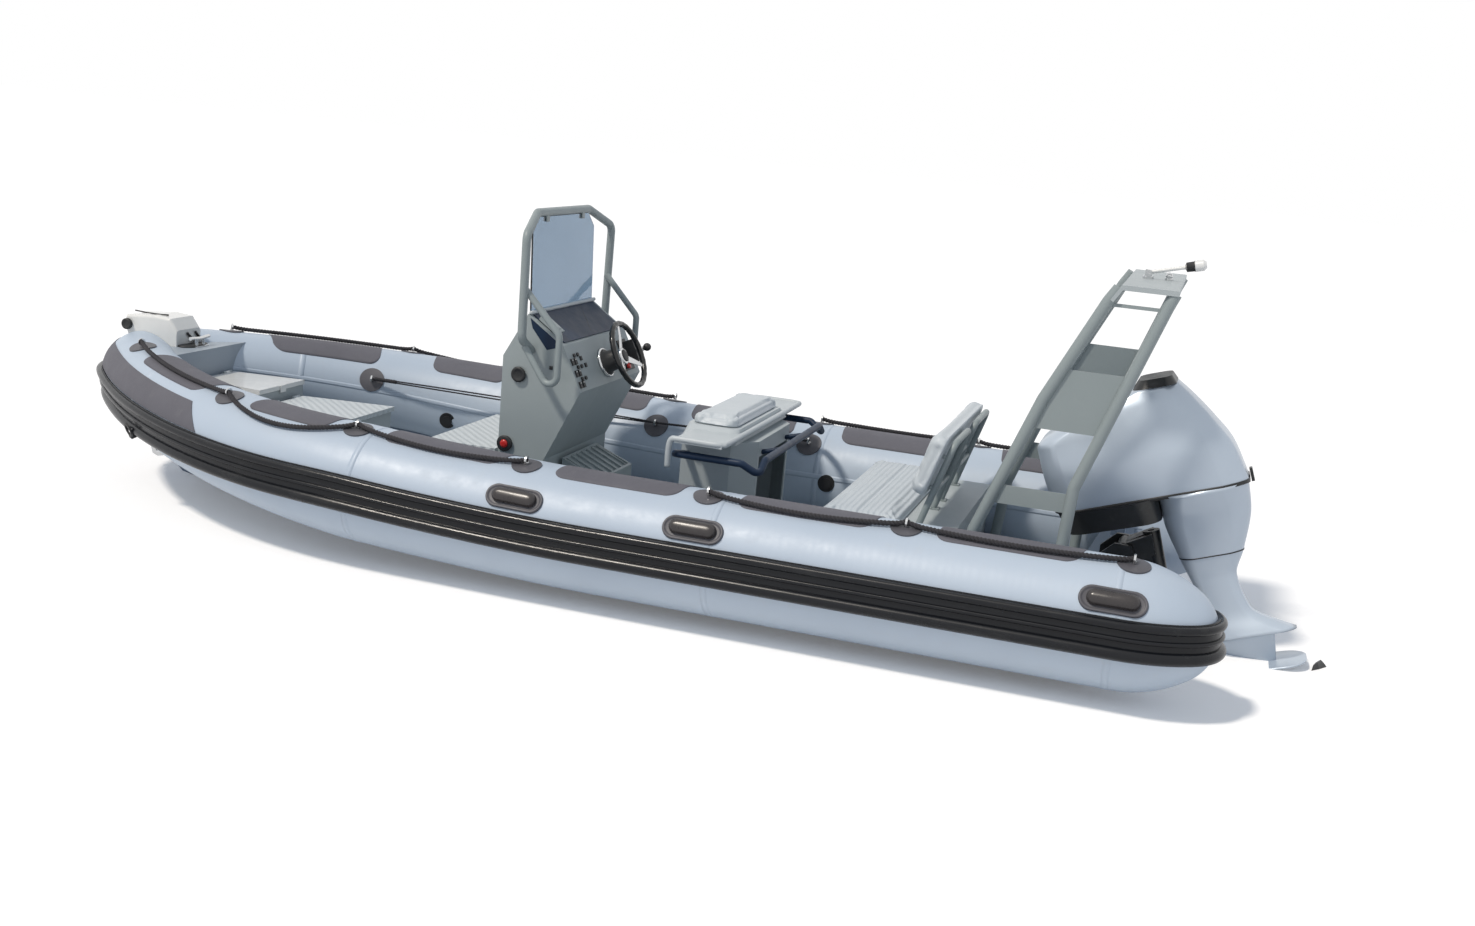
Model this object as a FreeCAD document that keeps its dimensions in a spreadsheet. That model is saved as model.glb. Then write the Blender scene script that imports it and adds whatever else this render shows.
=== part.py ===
import FreeCAD, Part
import math
import os
import re
from FreeCAD import Placement, Rotation, Vector

# Inflatable RIB boat, afloat. Millimetres and degrees.
# +X points to the bow, +Y to port, +Z up. The origin is where the waterline plane, the
# centreline and the aft face of the transom meet.

doc = FreeCAD.newDocument("boat")
sheet = doc.addObject("Spreadsheet::Sheet", "Sizes")

SIZES = [
    # tube collar
    ("tube_radius", 250), ("tube_spread", 850), ("tube_level", 300), ("cone_start", -70),
    ("tip_radius", 200), ("cone_turn", 35), ("loft_start", 1900), ("sheer_start", 2000),
    ("sheer_rise", 227), ("sheer_power", 1.72), ("bend_start", 3139), ("bend_radius", 2250),
    ("nose_radius", 258), ("nose_tube_radius", 180), ("nose_drop", 12), ("seat_gap", 0.3),
    ("skin_gap", 0.6), ("band_gap", 0.9), ("nose_gap", 1.0),
    # rub band, patches and fittings on the tubes
    ("band_low", -15), ("band_high", 20), ("band_skin", 9), ("rib_bulge", 24),
    ("band_wrap", 30), ("patch_skin", 3), ("patch_out", 66), ("patch_in", 127), ("crown", 93),
    ("patch_length", 540), ("patch_pitch", 785), ("patch_first", 92), ("patch_slant", 14),
    ("bow_patch_high", 48.6), ("ring_pad_radius", 62), ("ring_hole", 9), ("ring_wall", 8),
    ("handle_angle", 34), ("handle_length", 250), ("handle_width", 100), ("valve_radius", 42),
    ("tow_ring_x", 4270), ("tow_ring_angle", -21.5), ("tow_ring_radius", 34), ("tow_ring_wall", 11),
    # hull and deck
    ("keel_depth", 280), ("chine_spread", 610), ("chine_drop", 50), ("deck_level", 150),
    ("deck_sheet", 20), ("deck_front", 4462), ("stem_x", 4830), ("deck_tuck", 0.72),
    ("transom_thick", 60), ("transom_spread", 600), ("transom_top", 450), ("notch_top", 330),
    ("notch_spread", 400), ("notch_slope", 110),
    # bow
    ("bow_deck_level", 650), ("bow_deck_low", 300), ("bow_rail_level", 402), ("bow_deck_back", 4470),
    ("anchor_back", 4610),
    ("anchor_front", 4915), ("anchor_half", 96), ("anchor_level", 792), ("roller_radius", 22),
    ("roller_half", 28), ("roller_level", 732), ("roller_back", 42), ("slot_depth", 75),
    ("slot_level", 706), ("cleat_x", 4545), ("cleat_length", 150),
    ("step_front", 4460), ("step_back", 4075), ("step_half", 195), ("step_front_half", 140),
    ("step_level", 520), ("locker_back", 3575), ("locker_front", 4055), ("locker_half", 215),
    ("locker_nose_half", 140), ("locker_level", 450), ("lid_thick", 22), ("lid_lip", 8),
    ("lid_gap", 0.3), ("pin_radius", 4), ("barrel_radius", 7), ("barrel_length", 14),
    ("bow_eye_x", 4780), ("bow_eye_level", 92), ("bow_eye_hole", 12), ("stern_eye_x", -32),
    ("stern_eye_spread", 500), ("stern_eye_level", 60), ("stern_eye_hole", 10),
    # console
    ("console_half", 367), ("console_wall", 8), ("dash_front", 2615), ("dash_level", 1086),
    ("panel_back", 2441), ("panel_level", 967), ("console_back", 2346), ("switch_level", 772),
    ("console_foot", 2500), ("kick_level", 447), ("console_front", 2723), ("brow_level", 890),
    ("seat_front", 3075), ("seat_level", 460), ("seat_half", 345),
    ("post_radius", 19), ("post_spread", 485), ("post_x", 2590), ("post_foot", 930),
    ("hoop_bend_level", 1439), ("hoop_level", 1521), ("hoop_half", 288), ("hoop_lean", 45),
    ("rail_radius", 15), ("rail_spread", 462), ("rail_back", 2420), ("rail_top", 1203),
    ("rail_kink", 1023), ("rail_low", 730), ("glass_thick", 8), ("glass_half", 345),
    ("wheel_radius", 160), ("wheel_rim", 13), ("wheel_stand", 125), ("boss_radius", 42),
    ("boss_level", 855), ("foot_front", 2480), ("foot_back", 2290), ("foot_half", 200),
    ("foot_level", 430), ("foot_drop", 75),
    # centre seat
    ("pod_front", 1860), ("pod_back", 1550), ("pod_half", 370), ("pod_open", 250),
    ("pod_level", 650), ("pod_wall", 6), ("wing_back", 1609), ("wing_front", 1815),
    ("wing_half", 608), ("wing_level", 706), ("cushion_thick", 48), ("cushion_half", 330),
    ("seat_rail_radius", 16), ("seat_rail_half", 565), ("seat_rail_level", 615),
    # rear bench
    ("bench_back", 640), ("bench_front", 1195), ("bench_half", 560), ("bench_level", 440),
    ("quilt_thick", 45), ("quilt_back", 850), ("back_half", 500), ("back_low", 560),
    ("back_high", 835), ("back_foot_x", 790), ("back_top_x", 705), ("back_thick", 75),
    ("loop_radius", 14), ("loop_stand", 10),
    # arch
    ("leg_radius", 24), ("arch_foot_half", 540), ("arch_top_half", 440), ("front_foot_x", 558),
    ("front_knee_x", 356), ("front_knee", 1038), ("front_top_x", 162), ("rear_foot_x", 222),
    ("rear_knee_x", 190), ("rear_knee", 705),
    ("rear_top_x", -62), ("arch_level", 1445), ("arch_crown", 1500), ("panel_high", 1165),
    ("panel_low", 922), ("low_rail_high", 680), ("low_rail_low", 605), ("sheet_thick", 5),
    ("top_sheet_high", 1440), ("top_sheet_low", 1426),
    ("light_x", 45), ("light_y", 0), ("pole_length", 155), ("pole_radius", 8), ("pole_rise", 14),
    # outboard engine, sizes as it stands upright
    ("tilt_x", -20), ("tilt_level", 385), ("trim_angle", 18), ("steer_x", -140),
    ("steer_radius", 36), ("seam_level", 603), ("cowl_front", 245), ("cowl_back", -565),
    ("cowl_half", 235), ("cowl_top", 1046), ("cap_top", 1080), ("pan_level", 500),
    ("splash_level", -50), ("plate_level", -185), ("plate_back", -665), ("plate_half", 115),
    ("prop_level", -385), ("torpedo_radius", 58), ("torpedo_front", -235), ("torpedo_back", -640),
    ("skeg_level", -600), ("prop_radius", 178), ("hub_radius", 52), ("hub_length", 120),
    ("prop_gap", 8), ("blade_thick", 9),
]
for row, (alias, value) in enumerate(SIZES, 1):
    sheet.set("A%d" % row, alias)
    sheet.set("B%d" % row, str(value))
    sheet.setAlias("B%d" % row, alias)
doc.recompute()

ALIASES = [alias for alias, value in SIZES]
NODES = []


class Values:
    """The sheet's numbers as attributes, for shapes that are worked out here."""

    def __getattr__(self, alias):
        return float(sheet.get(alias))


S = Values()


# Bound primitives

def put(obj, prop, text):
    """Binds a property to an expression written with the sheet's aliases."""
    words = re.compile(r"[a-z_][a-z_0-9]*")
    obj.setExpression(prop, words.sub(lambda m: "Sizes." + m.group() if m.group() in ALIASES
                                      else m.group(), text))


def block(name, x, y, z):
    """A box between a low and a high expression along each axis."""
    obj = doc.addObject("Part::Box", name)
    for prop, axis, (low, high) in (("Length", "x", x), ("Width", "y", y), ("Height", "z", z)):
        put(obj, prop, "(%s) - (%s)" % (high, low))
        put(obj, "Placement.Base." + axis, low)
    return obj


def rod(name, radius, length, base, turn=Rotation()):
    """A cylinder of bound radius, length and base point, along +Z turned by turn."""
    obj = doc.addObject("Part::Cylinder", name)
    put(obj, "Radius", radius)
    put(obj, "Height", length)
    obj.Placement = Placement(Vector(), turn)
    for axis, text in zip("xyz", base):
        put(obj, "Placement.Base." + axis, text)
    return obj


def solid(name, shape):
    """A piece whose shape is worked out with Part's own functions."""
    obj = doc.addObject("Part::Feature", name)
    obj.Shape = shape
    return obj


def cut(name, base, tool):
    obj = doc.addObject("Part::Cut", name)
    obj.Base = base
    obj.Tool = tool
    return obj


def fuse(name, pieces):
    obj = doc.addObject("Part::MultiFuse", name)
    obj.Shapes = pieces
    return obj


def group(name, pieces):
    """Several separate solids in one object."""
    obj = doc.addObject("Part::Compound", name)
    obj.Links = pieces
    return obj


def node(obj, label):
    """Marks an object as a piece of the boat, to be written to a file of its label."""
    obj.Label = label
    NODES.append(obj)
    return obj


# Outlines and sweeps

ALONG_X = Rotation(Vector(0, 1, 0), 90)
ALONG_Y = Rotation(Vector(1, 0, 0), -90)


def face(points):
    return Part.Face(Part.makePolygon(points + points[:1]))


def side_prism(points, low, high):
    """A prism of (x, z) points between two y values."""
    return face([Vector(x, low, z) for x, z in points]).extrude(Vector(0, high - low, 0))


def plan_prism(points, low, high):
    """A prism of (x, y) points between two z values."""
    return face([Vector(x, y, low) for x, y in points]).extrude(Vector(0, 0, high - low))


def mirror(shape):
    return shape.mirror(Vector(), Vector(0, 1, 0))


def join(shapes):
    return shapes[0].fuse(shapes[1:]) if len(shapes) > 1 else shapes[0]


def rounded(low_x, high_x, half, corner, z):
    """A rectangle with rounded corners, across the centreline at one height."""
    corner = min(corner, 0.45 * (high_x - low_x), 0.9 * half)
    xs = (low_x, high_x)
    quarter = corner * (1 - math.sqrt(0.5))
    edges = []
    corners = [(xs[0], -half, 1, 1), (xs[1], -half, -1, 1), (xs[1], half, -1, -1), (xs[0], half, 1, -1)]
    ends = []
    for index, (x, y, sx, sy) in enumerate(corners):
        upright = Vector(x, y + sy * corner, z)
        level = Vector(x + sx * corner, y, z)
        first, last = (upright, level) if index in (0, 2) else (level, upright)
        ends.append((first, Vector(x + sx * quarter, y + sy * quarter, z), last))
    for index, (first, middle, last) in enumerate(ends):
        edges.append(Part.Arc(first, middle, last).toShape())
        edges.append(Part.LineSegment(last, ends[(index + 1) % 4][0]).toShape())
    return Part.Wire(edges)


def pipe(points, radius, bend):
    """A round tube along straight runs with a rounded bend at each inner point."""
    solids = []
    start = points[0]
    for index in range(1, len(points)):
        corner = points[index]
        ahead = corner - start
        heading = Vector(ahead).normalize()
        disc = Part.Face(Part.Wire(Part.makeCircle(radius, start, heading)))
        if index == len(points) - 1:
            solids.append(disc.extrude(ahead))
            break
        leaving = Vector(points[index + 1] - corner).normalize()
        turn = heading.getAngle(leaving)
        back = bend * math.tan(turn / 2)
        first = corner - heading * back
        last = corner + leaving * back
        solids.append(disc.extrude(first - start))
        axis = heading.cross(leaving).normalize()
        centre = first + axis.cross(heading) * bend
        disc = Part.Face(Part.Wire(Part.makeCircle(radius, first, heading)))
        solids.append(disc.revolve(centre, axis, math.degrees(turn)))
        start = last
    return join(solids)


# The tube's path: straight from the stern, then a long level bend and the nose arc in plan,
# while the centreline sweeps up to the bow and the tube grows thinner

LONG_TURN = math.degrees(math.acos((S.bend_radius - S.tube_spread) / (S.bend_radius - S.nose_radius)))
LONG_SIN = math.sin(math.radians(LONG_TURN))
NOSE_X = S.bend_start + S.bend_radius * LONG_SIN + S.nose_radius * (1 - LONG_SIN)


class Spot:
    """One section of the port tube: its place, radius and how far the rub band has turned down."""

    def __init__(self, x, y, turn):
        lift = max(x - S.sheer_start, 0) / (NOSE_X - S.sheer_start)
        share = max(x - S.bend_start, 0) / (NOSE_X - S.bend_start)
        slope = S.sheer_rise * S.sheer_power * lift ** (S.sheer_power - 1) / (NOSE_X - S.sheer_start)
        heading = math.radians(turn)
        ahead = Vector(math.cos(heading), -math.sin(heading), slope * math.cos(heading)).normalize()
        outward = Vector(math.sin(heading), math.cos(heading), 0)
        self.base = Vector(x, y, S.tube_level + S.sheer_rise * lift ** S.sheer_power)
        self.place = Placement(self.base, Rotation(ahead, outward, ahead.cross(outward), "XYZ"))
        self.radius = S.tube_radius - (S.tube_radius - S.nose_tube_radius) * share
        # the band's clearance, wider round the nose, where both lofts turn sharply
        self.band_gap = S.band_gap + S.nose_gap * min(1, max(0, (share - 0.8) / 0.06))
        self.drop = S.nose_drop * share


def spot_of(turn):
    """The section on the long bend or the nose arc where the tube has turned in by an angle."""
    heading = math.radians(turn)
    if turn <= LONG_TURN:
        return Spot(S.bend_start + S.bend_radius * math.sin(heading),
                    S.tube_spread - S.bend_radius * (1 - math.cos(heading)), turn)
    return Spot(NOSE_X - S.nose_radius * (1 - math.sin(heading)), S.nose_radius * math.cos(heading), turn)


def spot_at(x):
    """The section whose centre is at a given x."""
    if x <= S.bend_start:
        return Spot(x, S.tube_spread, 0)
    low, high = 0.0, 90.0
    for step in range(30):
        middle = (low + high) / 2
        low, high = (middle, high) if spot_of(middle).base.x < x else (low, middle)
    return spot_of(low)


SPOTS = [Spot(x, S.tube_spread, 0) for x in (S.loft_start, S.sheer_start, 2300, 2600, 2900, S.bend_start)]
SPOTS += [spot_of(turn) for turn in (8, 16, 24, 32, 40, LONG_TURN, 55, 66, 78, 90)]
STERN = Spot(S.cone_start, S.tube_spread, 0)


def around(angle, radius):
    """A point of a section in its own frame, at an angle above the outboard side."""
    turn = math.radians(angle)
    return Vector(0, radius * math.cos(turn), radius * math.sin(turn))


def laid(wire, spot):
    """A section's outline set in its place on the tube."""
    wire.Placement = spot.place
    return wire


def sweep(outline):
    """One solid from the stern cone to the centreline, from an outline made for each section."""
    first = laid(outline(SPOTS[0]), SPOTS[0])
    aft = Part.Face(first).extrude(Vector(S.cone_start - S.loft_start, 0, 0))
    fore = Part.makeLoft([laid(outline(spot), spot) for spot in SPOTS], True, False)
    return join([aft, fore])


def lip_angle(spot, angle):
    """Keeps widths measured from the band's upper lip as the tube thins and the band turns down."""
    return S.band_high - spot.drop + (angle - S.band_high) * S.tube_radius / spot.radius


def crown_angle(spot, angle):
    """Keeps widths measured from the crown of the tube as it thins."""
    return S.crown + (angle - S.crown) * S.tube_radius / spot.radius


def plain_angle(spot, angle):
    return angle


def sector(spot, inner, outer, low, high):
    """A piece of ring of a section, between two heights over the skin and two angles."""
    near, far = spot.radius + inner, spot.radius + outer
    middle = (low + high) / 2
    return Part.Wire([
        Part.Arc(around(low, near), around(middle, near), around(high, near)).toShape(),
        Part.LineSegment(around(high, near), around(high, far)).toShape(),
        Part.Arc(around(high, far), around(middle, far), around(low, far)).toShape(),
        Part.LineSegment(around(low, far), around(low, near)).toShape(),
    ])


def skin(thick, low, high, angle_at):
    """A sheet laid on the whole length of the tube between two angles."""
    return sweep(lambda spot: sector(spot, S.skin_gap, thick, angle_at(spot, low), angle_at(spot, high)))


def radial(x, angle, out):
    """Placement on the port tube: origin at a height over its skin, local Z along the normal."""
    spot = spot_at(x)
    turn = Rotation(Vector(1, 0, 0), angle - 90)
    base = spot.place.multVec(around(angle, spot.radius + out))
    return Placement(base, spot.place.Rotation.multiply(turn))


# Tubes

def cone_radius():
    """Radius of the long arc that brings the stern cone's side in to its tip arc."""
    turn = math.radians(S.cone_turn)
    return (S.tube_radius - S.tip_radius * math.cos(turn)) / (1 - math.cos(turn))


def stern_cone(grow):
    """The domed stern end, larger than the tube by grow."""
    long_radius = cone_radius()
    turn = math.radians(S.cone_turn)
    axis_y = S.tube_spread
    start = Vector(S.cone_start, axis_y + S.tube_radius + grow, S.tube_level)
    centre = Vector(S.cone_start, axis_y + S.tube_radius - long_radius, S.tube_level)
    tip_centre = Vector(S.cone_start - (long_radius - S.tip_radius) * math.sin(turn), axis_y, S.tube_level)

    def on(middle, radius, angle):
        return middle + Vector(-math.sin(angle), math.cos(angle), 0) * (radius + grow)

    knuckle = on(centre, long_radius, turn)
    tip = on(tip_centre, S.tip_radius, math.pi / 2)
    middle_turn = (turn + math.pi / 2) / 2
    edges = [
        Part.Arc(start, on(centre, long_radius, turn / 2), knuckle).toShape(),
        Part.Arc(knuckle, on(tip_centre, S.tip_radius, middle_turn), tip).toShape(),
        Part.LineSegment(tip, Vector(S.cone_start, axis_y, S.tube_level)).toShape(),
        Part.LineSegment(Vector(S.cone_start, axis_y, S.tube_level), start).toShape(),
    ]
    profile = Part.Face(Part.Wire(edges))
    return profile.revolve(Vector(0, axis_y, S.tube_level), Vector(1, 0, 0), 360)


def tube(grow):
    """The whole port tube, larger than life by grow, from stern cone to the centreline."""
    def ring(spot):
        return Part.Wire(Part.makeCircle(spot.radius + grow, Vector(), Vector(1, 0, 0)))
    return join([stern_cone(grow), sweep(ring)])


port_tube = tube(0)
clear_tube = tube(S.seat_gap)
CLEAR_TUBES = solid("ClearTubes", Part.makeCompound([clear_tube, mirror(clear_tube)]))


def trimmed(name, shape):
    """A piece cut back from both tubes by the seat gap."""
    return cut(name, solid(name + "Blank", shape), CLEAR_TUBES)


node(solid("TubePort", port_tube), "tube_port")
node(solid("TubeStarboard", mirror(port_tube)), "tube_starboard")


# Rub band: a flat strip with a lip on its upper edge and three half-round ribs

RIBS = [
    # start above the lower edge, end above it, share of the full bulge
    (1, 12, 1.0),
    (17, 21, 0.42),
    (26, 33.5, 0.8),
]


def band_outline(spot, inner):
    """The band's section, with its inner side at a given radius."""
    base = spot.radius + S.band_skin

    def at(angle, radius):
        return around(lip_angle(spot, angle), radius)

    last = at(S.band_low, base)
    edges = [Part.LineSegment(at(S.band_low, inner), last).toShape()]
    for start, end, share in RIBS:
        first, final = at(S.band_low + start, base), at(S.band_low + end, base)
        crest = at(S.band_low + (start + end) / 2, base + share * S.rib_bulge)
        edges.append(Part.LineSegment(last, first).toShape())
        edges.append(Part.Arc(first, crest, final).toShape())
        last = final
    edges.append(Part.LineSegment(last, at(S.band_high, base)).toShape())
    edges.append(Part.LineSegment(at(S.band_high, base), at(S.band_high, inner)).toShape())
    middle = (S.band_low + S.band_high) / 2
    edges.append(Part.Arc(at(S.band_high, inner), at(middle, inner), at(S.band_low, inner)).toShape())
    return Part.Wire(edges)


def rub_band():
    """The band along the tube and round the stern cone to its far side."""
    ahead = sweep(lambda spot: band_outline(spot, spot.radius + spot.band_gap))
    turn = S.cone_turn
    long_radius = cone_radius()
    centre = Vector(S.cone_start, S.tube_spread + S.tube_radius - long_radius, S.tube_level)
    up = Vector(0, 0, 1)
    profile = Part.Face(laid(band_outline(STERN, S.tube_radius * 0.75), STERN))
    side = profile.revolve(centre, up, turn)
    profile = profile.rotated(centre, up, turn)
    reach = (long_radius - S.tip_radius) * math.sin(math.radians(turn))
    tip_centre = Vector(S.cone_start - reach, S.tube_spread, S.tube_level)
    end = profile.revolve(tip_centre, up, 90 - turn + S.band_wrap)
    behind = join([side, end]).cut(stern_cone(S.band_gap))
    solids = sorted(behind.Solids, key=lambda s: s.Volume)
    return join([ahead, solids[-1]])


band = rub_band()
node(solid("BandPort", band), "rub_band_port")
node(solid("BandStarboard", mirror(band)), "rub_band_starboard")


# Wear patches on the tops, and the large bow patch above the band

PATCHES = [
    # back and front end, as x on the tube's centreline
    (S.patch_first + count * S.patch_pitch, S.patch_first + count * S.patch_pitch + S.patch_length)
    for count in range(4)
]
PATCHES += [(3245, 3665), (3945, 4445)]


def patch_outline(back, front, corner):
    """A slanted rectangle with rounded corners in plan, along the tube."""
    place = spot_at((back + front) / 2).place
    ahead = place.Rotation.multVec(Vector(1, 0, 0))
    half = (front - back) / 2 / ahead.x
    slant = S.patch_slant
    wide = S.tube_radius * 0.62
    corners = [(slant - half, -wide), (half + slant, -wide), (half - slant, wide), (-half - slant, wide)]
    blank = plan_prism(corners, 0, 2 * S.tube_radius)
    upright = [edge for edge in blank.Edges if abs(edge.tangentAt(edge.FirstParameter).z) > 0.9]
    blank = blank.makeFillet(corner, upright)
    yaw = math.degrees(math.atan2(ahead.y, ahead.x))
    blank.Placement = Placement(place.Base, Rotation(Vector(0, 0, 1), yaw))
    return blank


def both(name, shapes):
    """Objects for shapes on the port side and their mirrored twins."""
    objects = []
    for index, shape in enumerate(shapes):
        objects.append(solid("%s%dP" % (name, index), shape))
        objects.append(solid("%s%dS" % (name, index), mirror(shape)))
    return objects


top_skin = skin(S.patch_skin, S.patch_out, S.patch_in, crown_angle)
wear = [top_skin.common(patch_outline(back, front, 26)) for back, front in PATCHES]
node(group("WearPatches", both("WearPatch", wear)), "wear_patches")

bow_skin = skin(S.patch_skin, S.band_high + 0.7, S.bow_patch_high, lip_angle)
bow_reach = side_prism([(3830, 402), (4050, 680), (5300, 900), (5300, 100), (3830, 100)], S.seat_gap, 1200)
bow_piece = bow_skin.common(bow_reach)


# Round pads with lifeline rings, grab handles, tow rings and valves

pad_skin = join([skin(2 * S.patch_skin, 12, 200, plain_angle),
                 stern_cone(2 * S.patch_skin).cut(stern_cone(S.skin_gap))])
RINGS = [
    # x on the centreline, angle above the outboard side
    (-90, 79), (760, 78), (1553, 77), (2346, 77), (3130, 76), (3803, 73), (4596, 78.5),
    (1553, 134.5), (2346, 141.5), (3950, 157),
]
HANDLE_XS = (-40, 1560, 2320)
VALVES = [(1430, 177), (3500, 191)]


def pad(x, angle):
    """A thin round pad laid on the tube."""
    place = radial(x, angle, 0)
    disc = Part.makeCylinder(S.ring_pad_radius, 2 * S.tube_radius, Vector(0, 0, -100))
    disc.Placement = place
    return pad_skin.common(disc)


def lifeline_ring(x, angle):
    """A flat steel ring standing on its pad, with its hole along the tube."""
    outer = S.ring_hole + S.ring_wall
    start = Vector(-S.ring_wall / 2, 0, outer)
    along = Vector(1, 0, 0)
    rim = Part.makeCylinder(outer, S.ring_wall, start, along)
    keeper = Part.makeCylinder(S.ring_hole, S.ring_wall * 0.8)
    piece = join([rim, keeper]).cut(Part.makeCylinder(S.ring_hole, S.ring_wall, start, along))
    piece.Placement = radial(x, angle, 2 * S.patch_skin + S.skin_gap)
    return piece


node(group("RingPads", both("RingPad", [pad(x, angle) for x, angle in RINGS])), "ring_pads")
node(group("LifelineRings", both("LifelineRing", [lifeline_ring(x, angle) for x, angle in RINGS])),
     "lifeline_rings")


def handle(x):
    """A stadium-shaped pad with a raised strap to hold."""
    place = radial(x, S.handle_angle, 0)
    half, wide = S.handle_length / 2, S.handle_width / 2
    outline = Part.makeBox(2 * (half - wide), 2 * wide, 300, Vector(wide - half, -wide, -100))
    for end in (-1, 1):
        outline = outline.fuse(Part.makeCylinder(wide, 300, Vector(end * (half - wide), 0, -100)))
    outline.Placement = place
    foot = 0.38 * S.handle_length
    rise = 2 * S.patch_skin
    low, high = rise - 4, rise + 26
    strap = pipe([Vector(-foot, 0, low), Vector(-foot, 0, high), Vector(foot, 0, high),
                  Vector(foot, 0, low)], 9, 20)
    strap.Placement = place
    return join([pad_skin.common(outline), strap])


node(group("GrabHandles", both("GrabHandle", [handle(x) for x in HANDLE_XS])), "grab_handles")

tow_ring = Part.makeCylinder(S.tow_ring_radius, 8)
tow_ring = tow_ring.cut(Part.makeCylinder(S.tow_ring_radius - S.tow_ring_wall, 8))
tow_ring = tow_ring.fuse(Part.makeBox(30, 18, 8, Vector(-15, S.tow_ring_radius - 9, 0)))
tow_ring = tow_ring.fuse(Part.makeBox(30, 8, 40, Vector(-15, S.tow_ring_radius + 1, -32)))
tow_ring.Placement = radial(S.tow_ring_x, S.tow_ring_angle, S.band_skin + S.rib_bulge + S.seat_gap)
node(group("BowRings", both("BowRing", [tow_ring.cut(band).cut(clear_tube)])), "bow_rings")

valves = []
for x, angle in VALVES:
    plate = Part.makeCylinder(S.valve_radius, 7).fuse(Part.makeCylinder(S.valve_radius * 0.62, 14))
    plate.Placement = radial(x, angle, S.seat_gap - 6)
    valves.append(plate.cut(clear_tube))
node(group("TubeValves", both("TubeValve", valves)), "tube_valves")


# Hull: smooth bottom panels from transom to stem, its rails seated under the tubes

HULL_STATIONS = [
    # x, keel z, chine y, chine z
    (0, -S.keel_depth, S.chine_spread, -S.chine_drop),
    (S.loft_start, -S.keel_depth, S.chine_spread, -S.chine_drop),
    (2150, -S.keel_depth, S.chine_spread, -S.chine_drop),
    (2600, -278, 595, -48),
    (3139, -272, 545, -42),
    (3500, -260, 470, -35),
    (4000, -200, 310, 20),
    (4350, -130, 200, 80),
    (4600, -30, 100, 160),
    (4750, 120, 45, 220),
    (S.stem_x, 195, 18, 240),
]
STEM_RAIL = (30, 400)


def hull_section(x, keel, chine_y, chine_z):
    """Keel, chine and rail on both sides; the rail runs just inside the tube's lower skin."""
    rail_y, rail_z = STEM_RAIL
    if x < NOSE_X:
        spot = spot_at(x)
        rail_y = spot.base.y - 0.55 * spot.radius
        rail_z = spot.base.z - 0.68 * spot.radius
    points = [(0, keel), (chine_y, chine_z), (rail_y, rail_z)]
    ring = [Vector(x, y, z) for y, z in points] + [Vector(x, -y, z) for y, z in reversed(points[1:])]
    return Part.makePolygon(ring + ring[:1])


def deck_outline(back, front):
    """The deck's plan between two x values, its sides tucked under the tubes."""
    points = [(back, S.tube_spread - S.deck_tuck * S.tube_radius)]
    for x in (S.bend_start, 3500, 3900, 4200, front):
        spot = spot_at(x)
        points.append((x, spot.base.y - S.deck_tuck * spot.radius))
    return points + [(x, -y) for x, y in reversed(points)]


base = S.deck_level - S.deck_sheet
sections = [hull_section(*row) for row in HULL_STATIONS]
aft = Part.makeLoft(sections[:2], True, True)
fore = Part.makeLoft(sections[1:], True, False)
cockpit = plan_prism(deck_outline(0, S.deck_front), base, base + 500)
HULL = node(trimmed("Hull", join([aft, fore]).cut(cockpit)), "hull")

deck_plate = plan_prism(deck_outline(S.transom_thick, S.deck_front - S.seat_gap), base, S.deck_level)
node(trimmed("Deck", deck_plate), "deck")


# Transom with the engine cut-out

def transom_shape():
    half, notch = S.transom_spread, S.notch_spread
    outline = [(-half, base), (half, base), (half, S.transom_top), (notch + S.notch_slope, S.transom_top),
               (notch, S.notch_top), (-notch, S.notch_top), (-notch - S.notch_slope, S.transom_top),
               (-half, S.transom_top)]
    plate = face([Vector(0, y, z) for y, z in outline]).extrude(Vector(S.transom_thick, 0, 0))
    knees = []
    for side in (1, -1):
        y = side * (S.notch_spread + S.notch_slope + 25)
        knee = [(S.transom_thick, S.deck_level), (S.transom_thick + 120, S.deck_level),
                (S.transom_thick, S.transom_top - 20)]
        knees.append(side_prism(knee, y - 6, y + 6))
    return join([plate] + knees)


node(trimmed("Transom", transom_shape().cut(deck_plate)), "transom")


# Bow: moulded deck between the tubes, anchor box with roller, cleat and towing eye

def bow_outline(tuck):
    """The bow deck in plan, its sides inside the tubes' centreline by a share of their radius."""
    points = []
    for x in (S.bow_deck_back, 4600, 4700, 4790):
        spot = spot_at(x)
        points.append((x, max(spot.base.y - tuck * spot.radius, 10)))
    return points + [(x, -y) for x, y in reversed(points)]


bow_top = plan_prism(bow_outline(0), S.bow_rail_level, S.bow_deck_level)
bow_foot = plan_prism(bow_outline(0.6), S.bow_deck_low, S.bow_rail_level)
node(cut("BowDeck", trimmed("BowDeckSeated", join([bow_top, bow_foot])), HULL), "bow_deck")

crown = S.anchor_level
seat = S.bow_deck_level + S.seat_gap
anchor_outline = [(S.anchor_back, seat), (S.anchor_front - 40, seat), (S.anchor_front, crown - 50),
                  (S.anchor_front - 10, crown - 16), (S.anchor_back + 130, crown),
                  (S.anchor_back + 40, crown - 8), (S.anchor_back, crown - 62)]
anchor = side_prism(anchor_outline, -S.anchor_half, S.anchor_half)
rims = [e for e in anchor.Edges
        if abs(e.tangentAt(e.FirstParameter).y) < 0.1 and e.CenterOfMass.z > crown - 60]
slot = Part.makeBox(S.slot_depth + 1, 2 * S.roller_half + 4, 200,
                    Vector(S.anchor_front - S.slot_depth, -S.roller_half - 2, S.slot_level))
anchor = anchor.makeFillet(14, rims).cut(slot).cut(clear_tube).cut(mirror(clear_tube))
node(solid("AnchorBox", anchor), "anchor_box")

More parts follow.
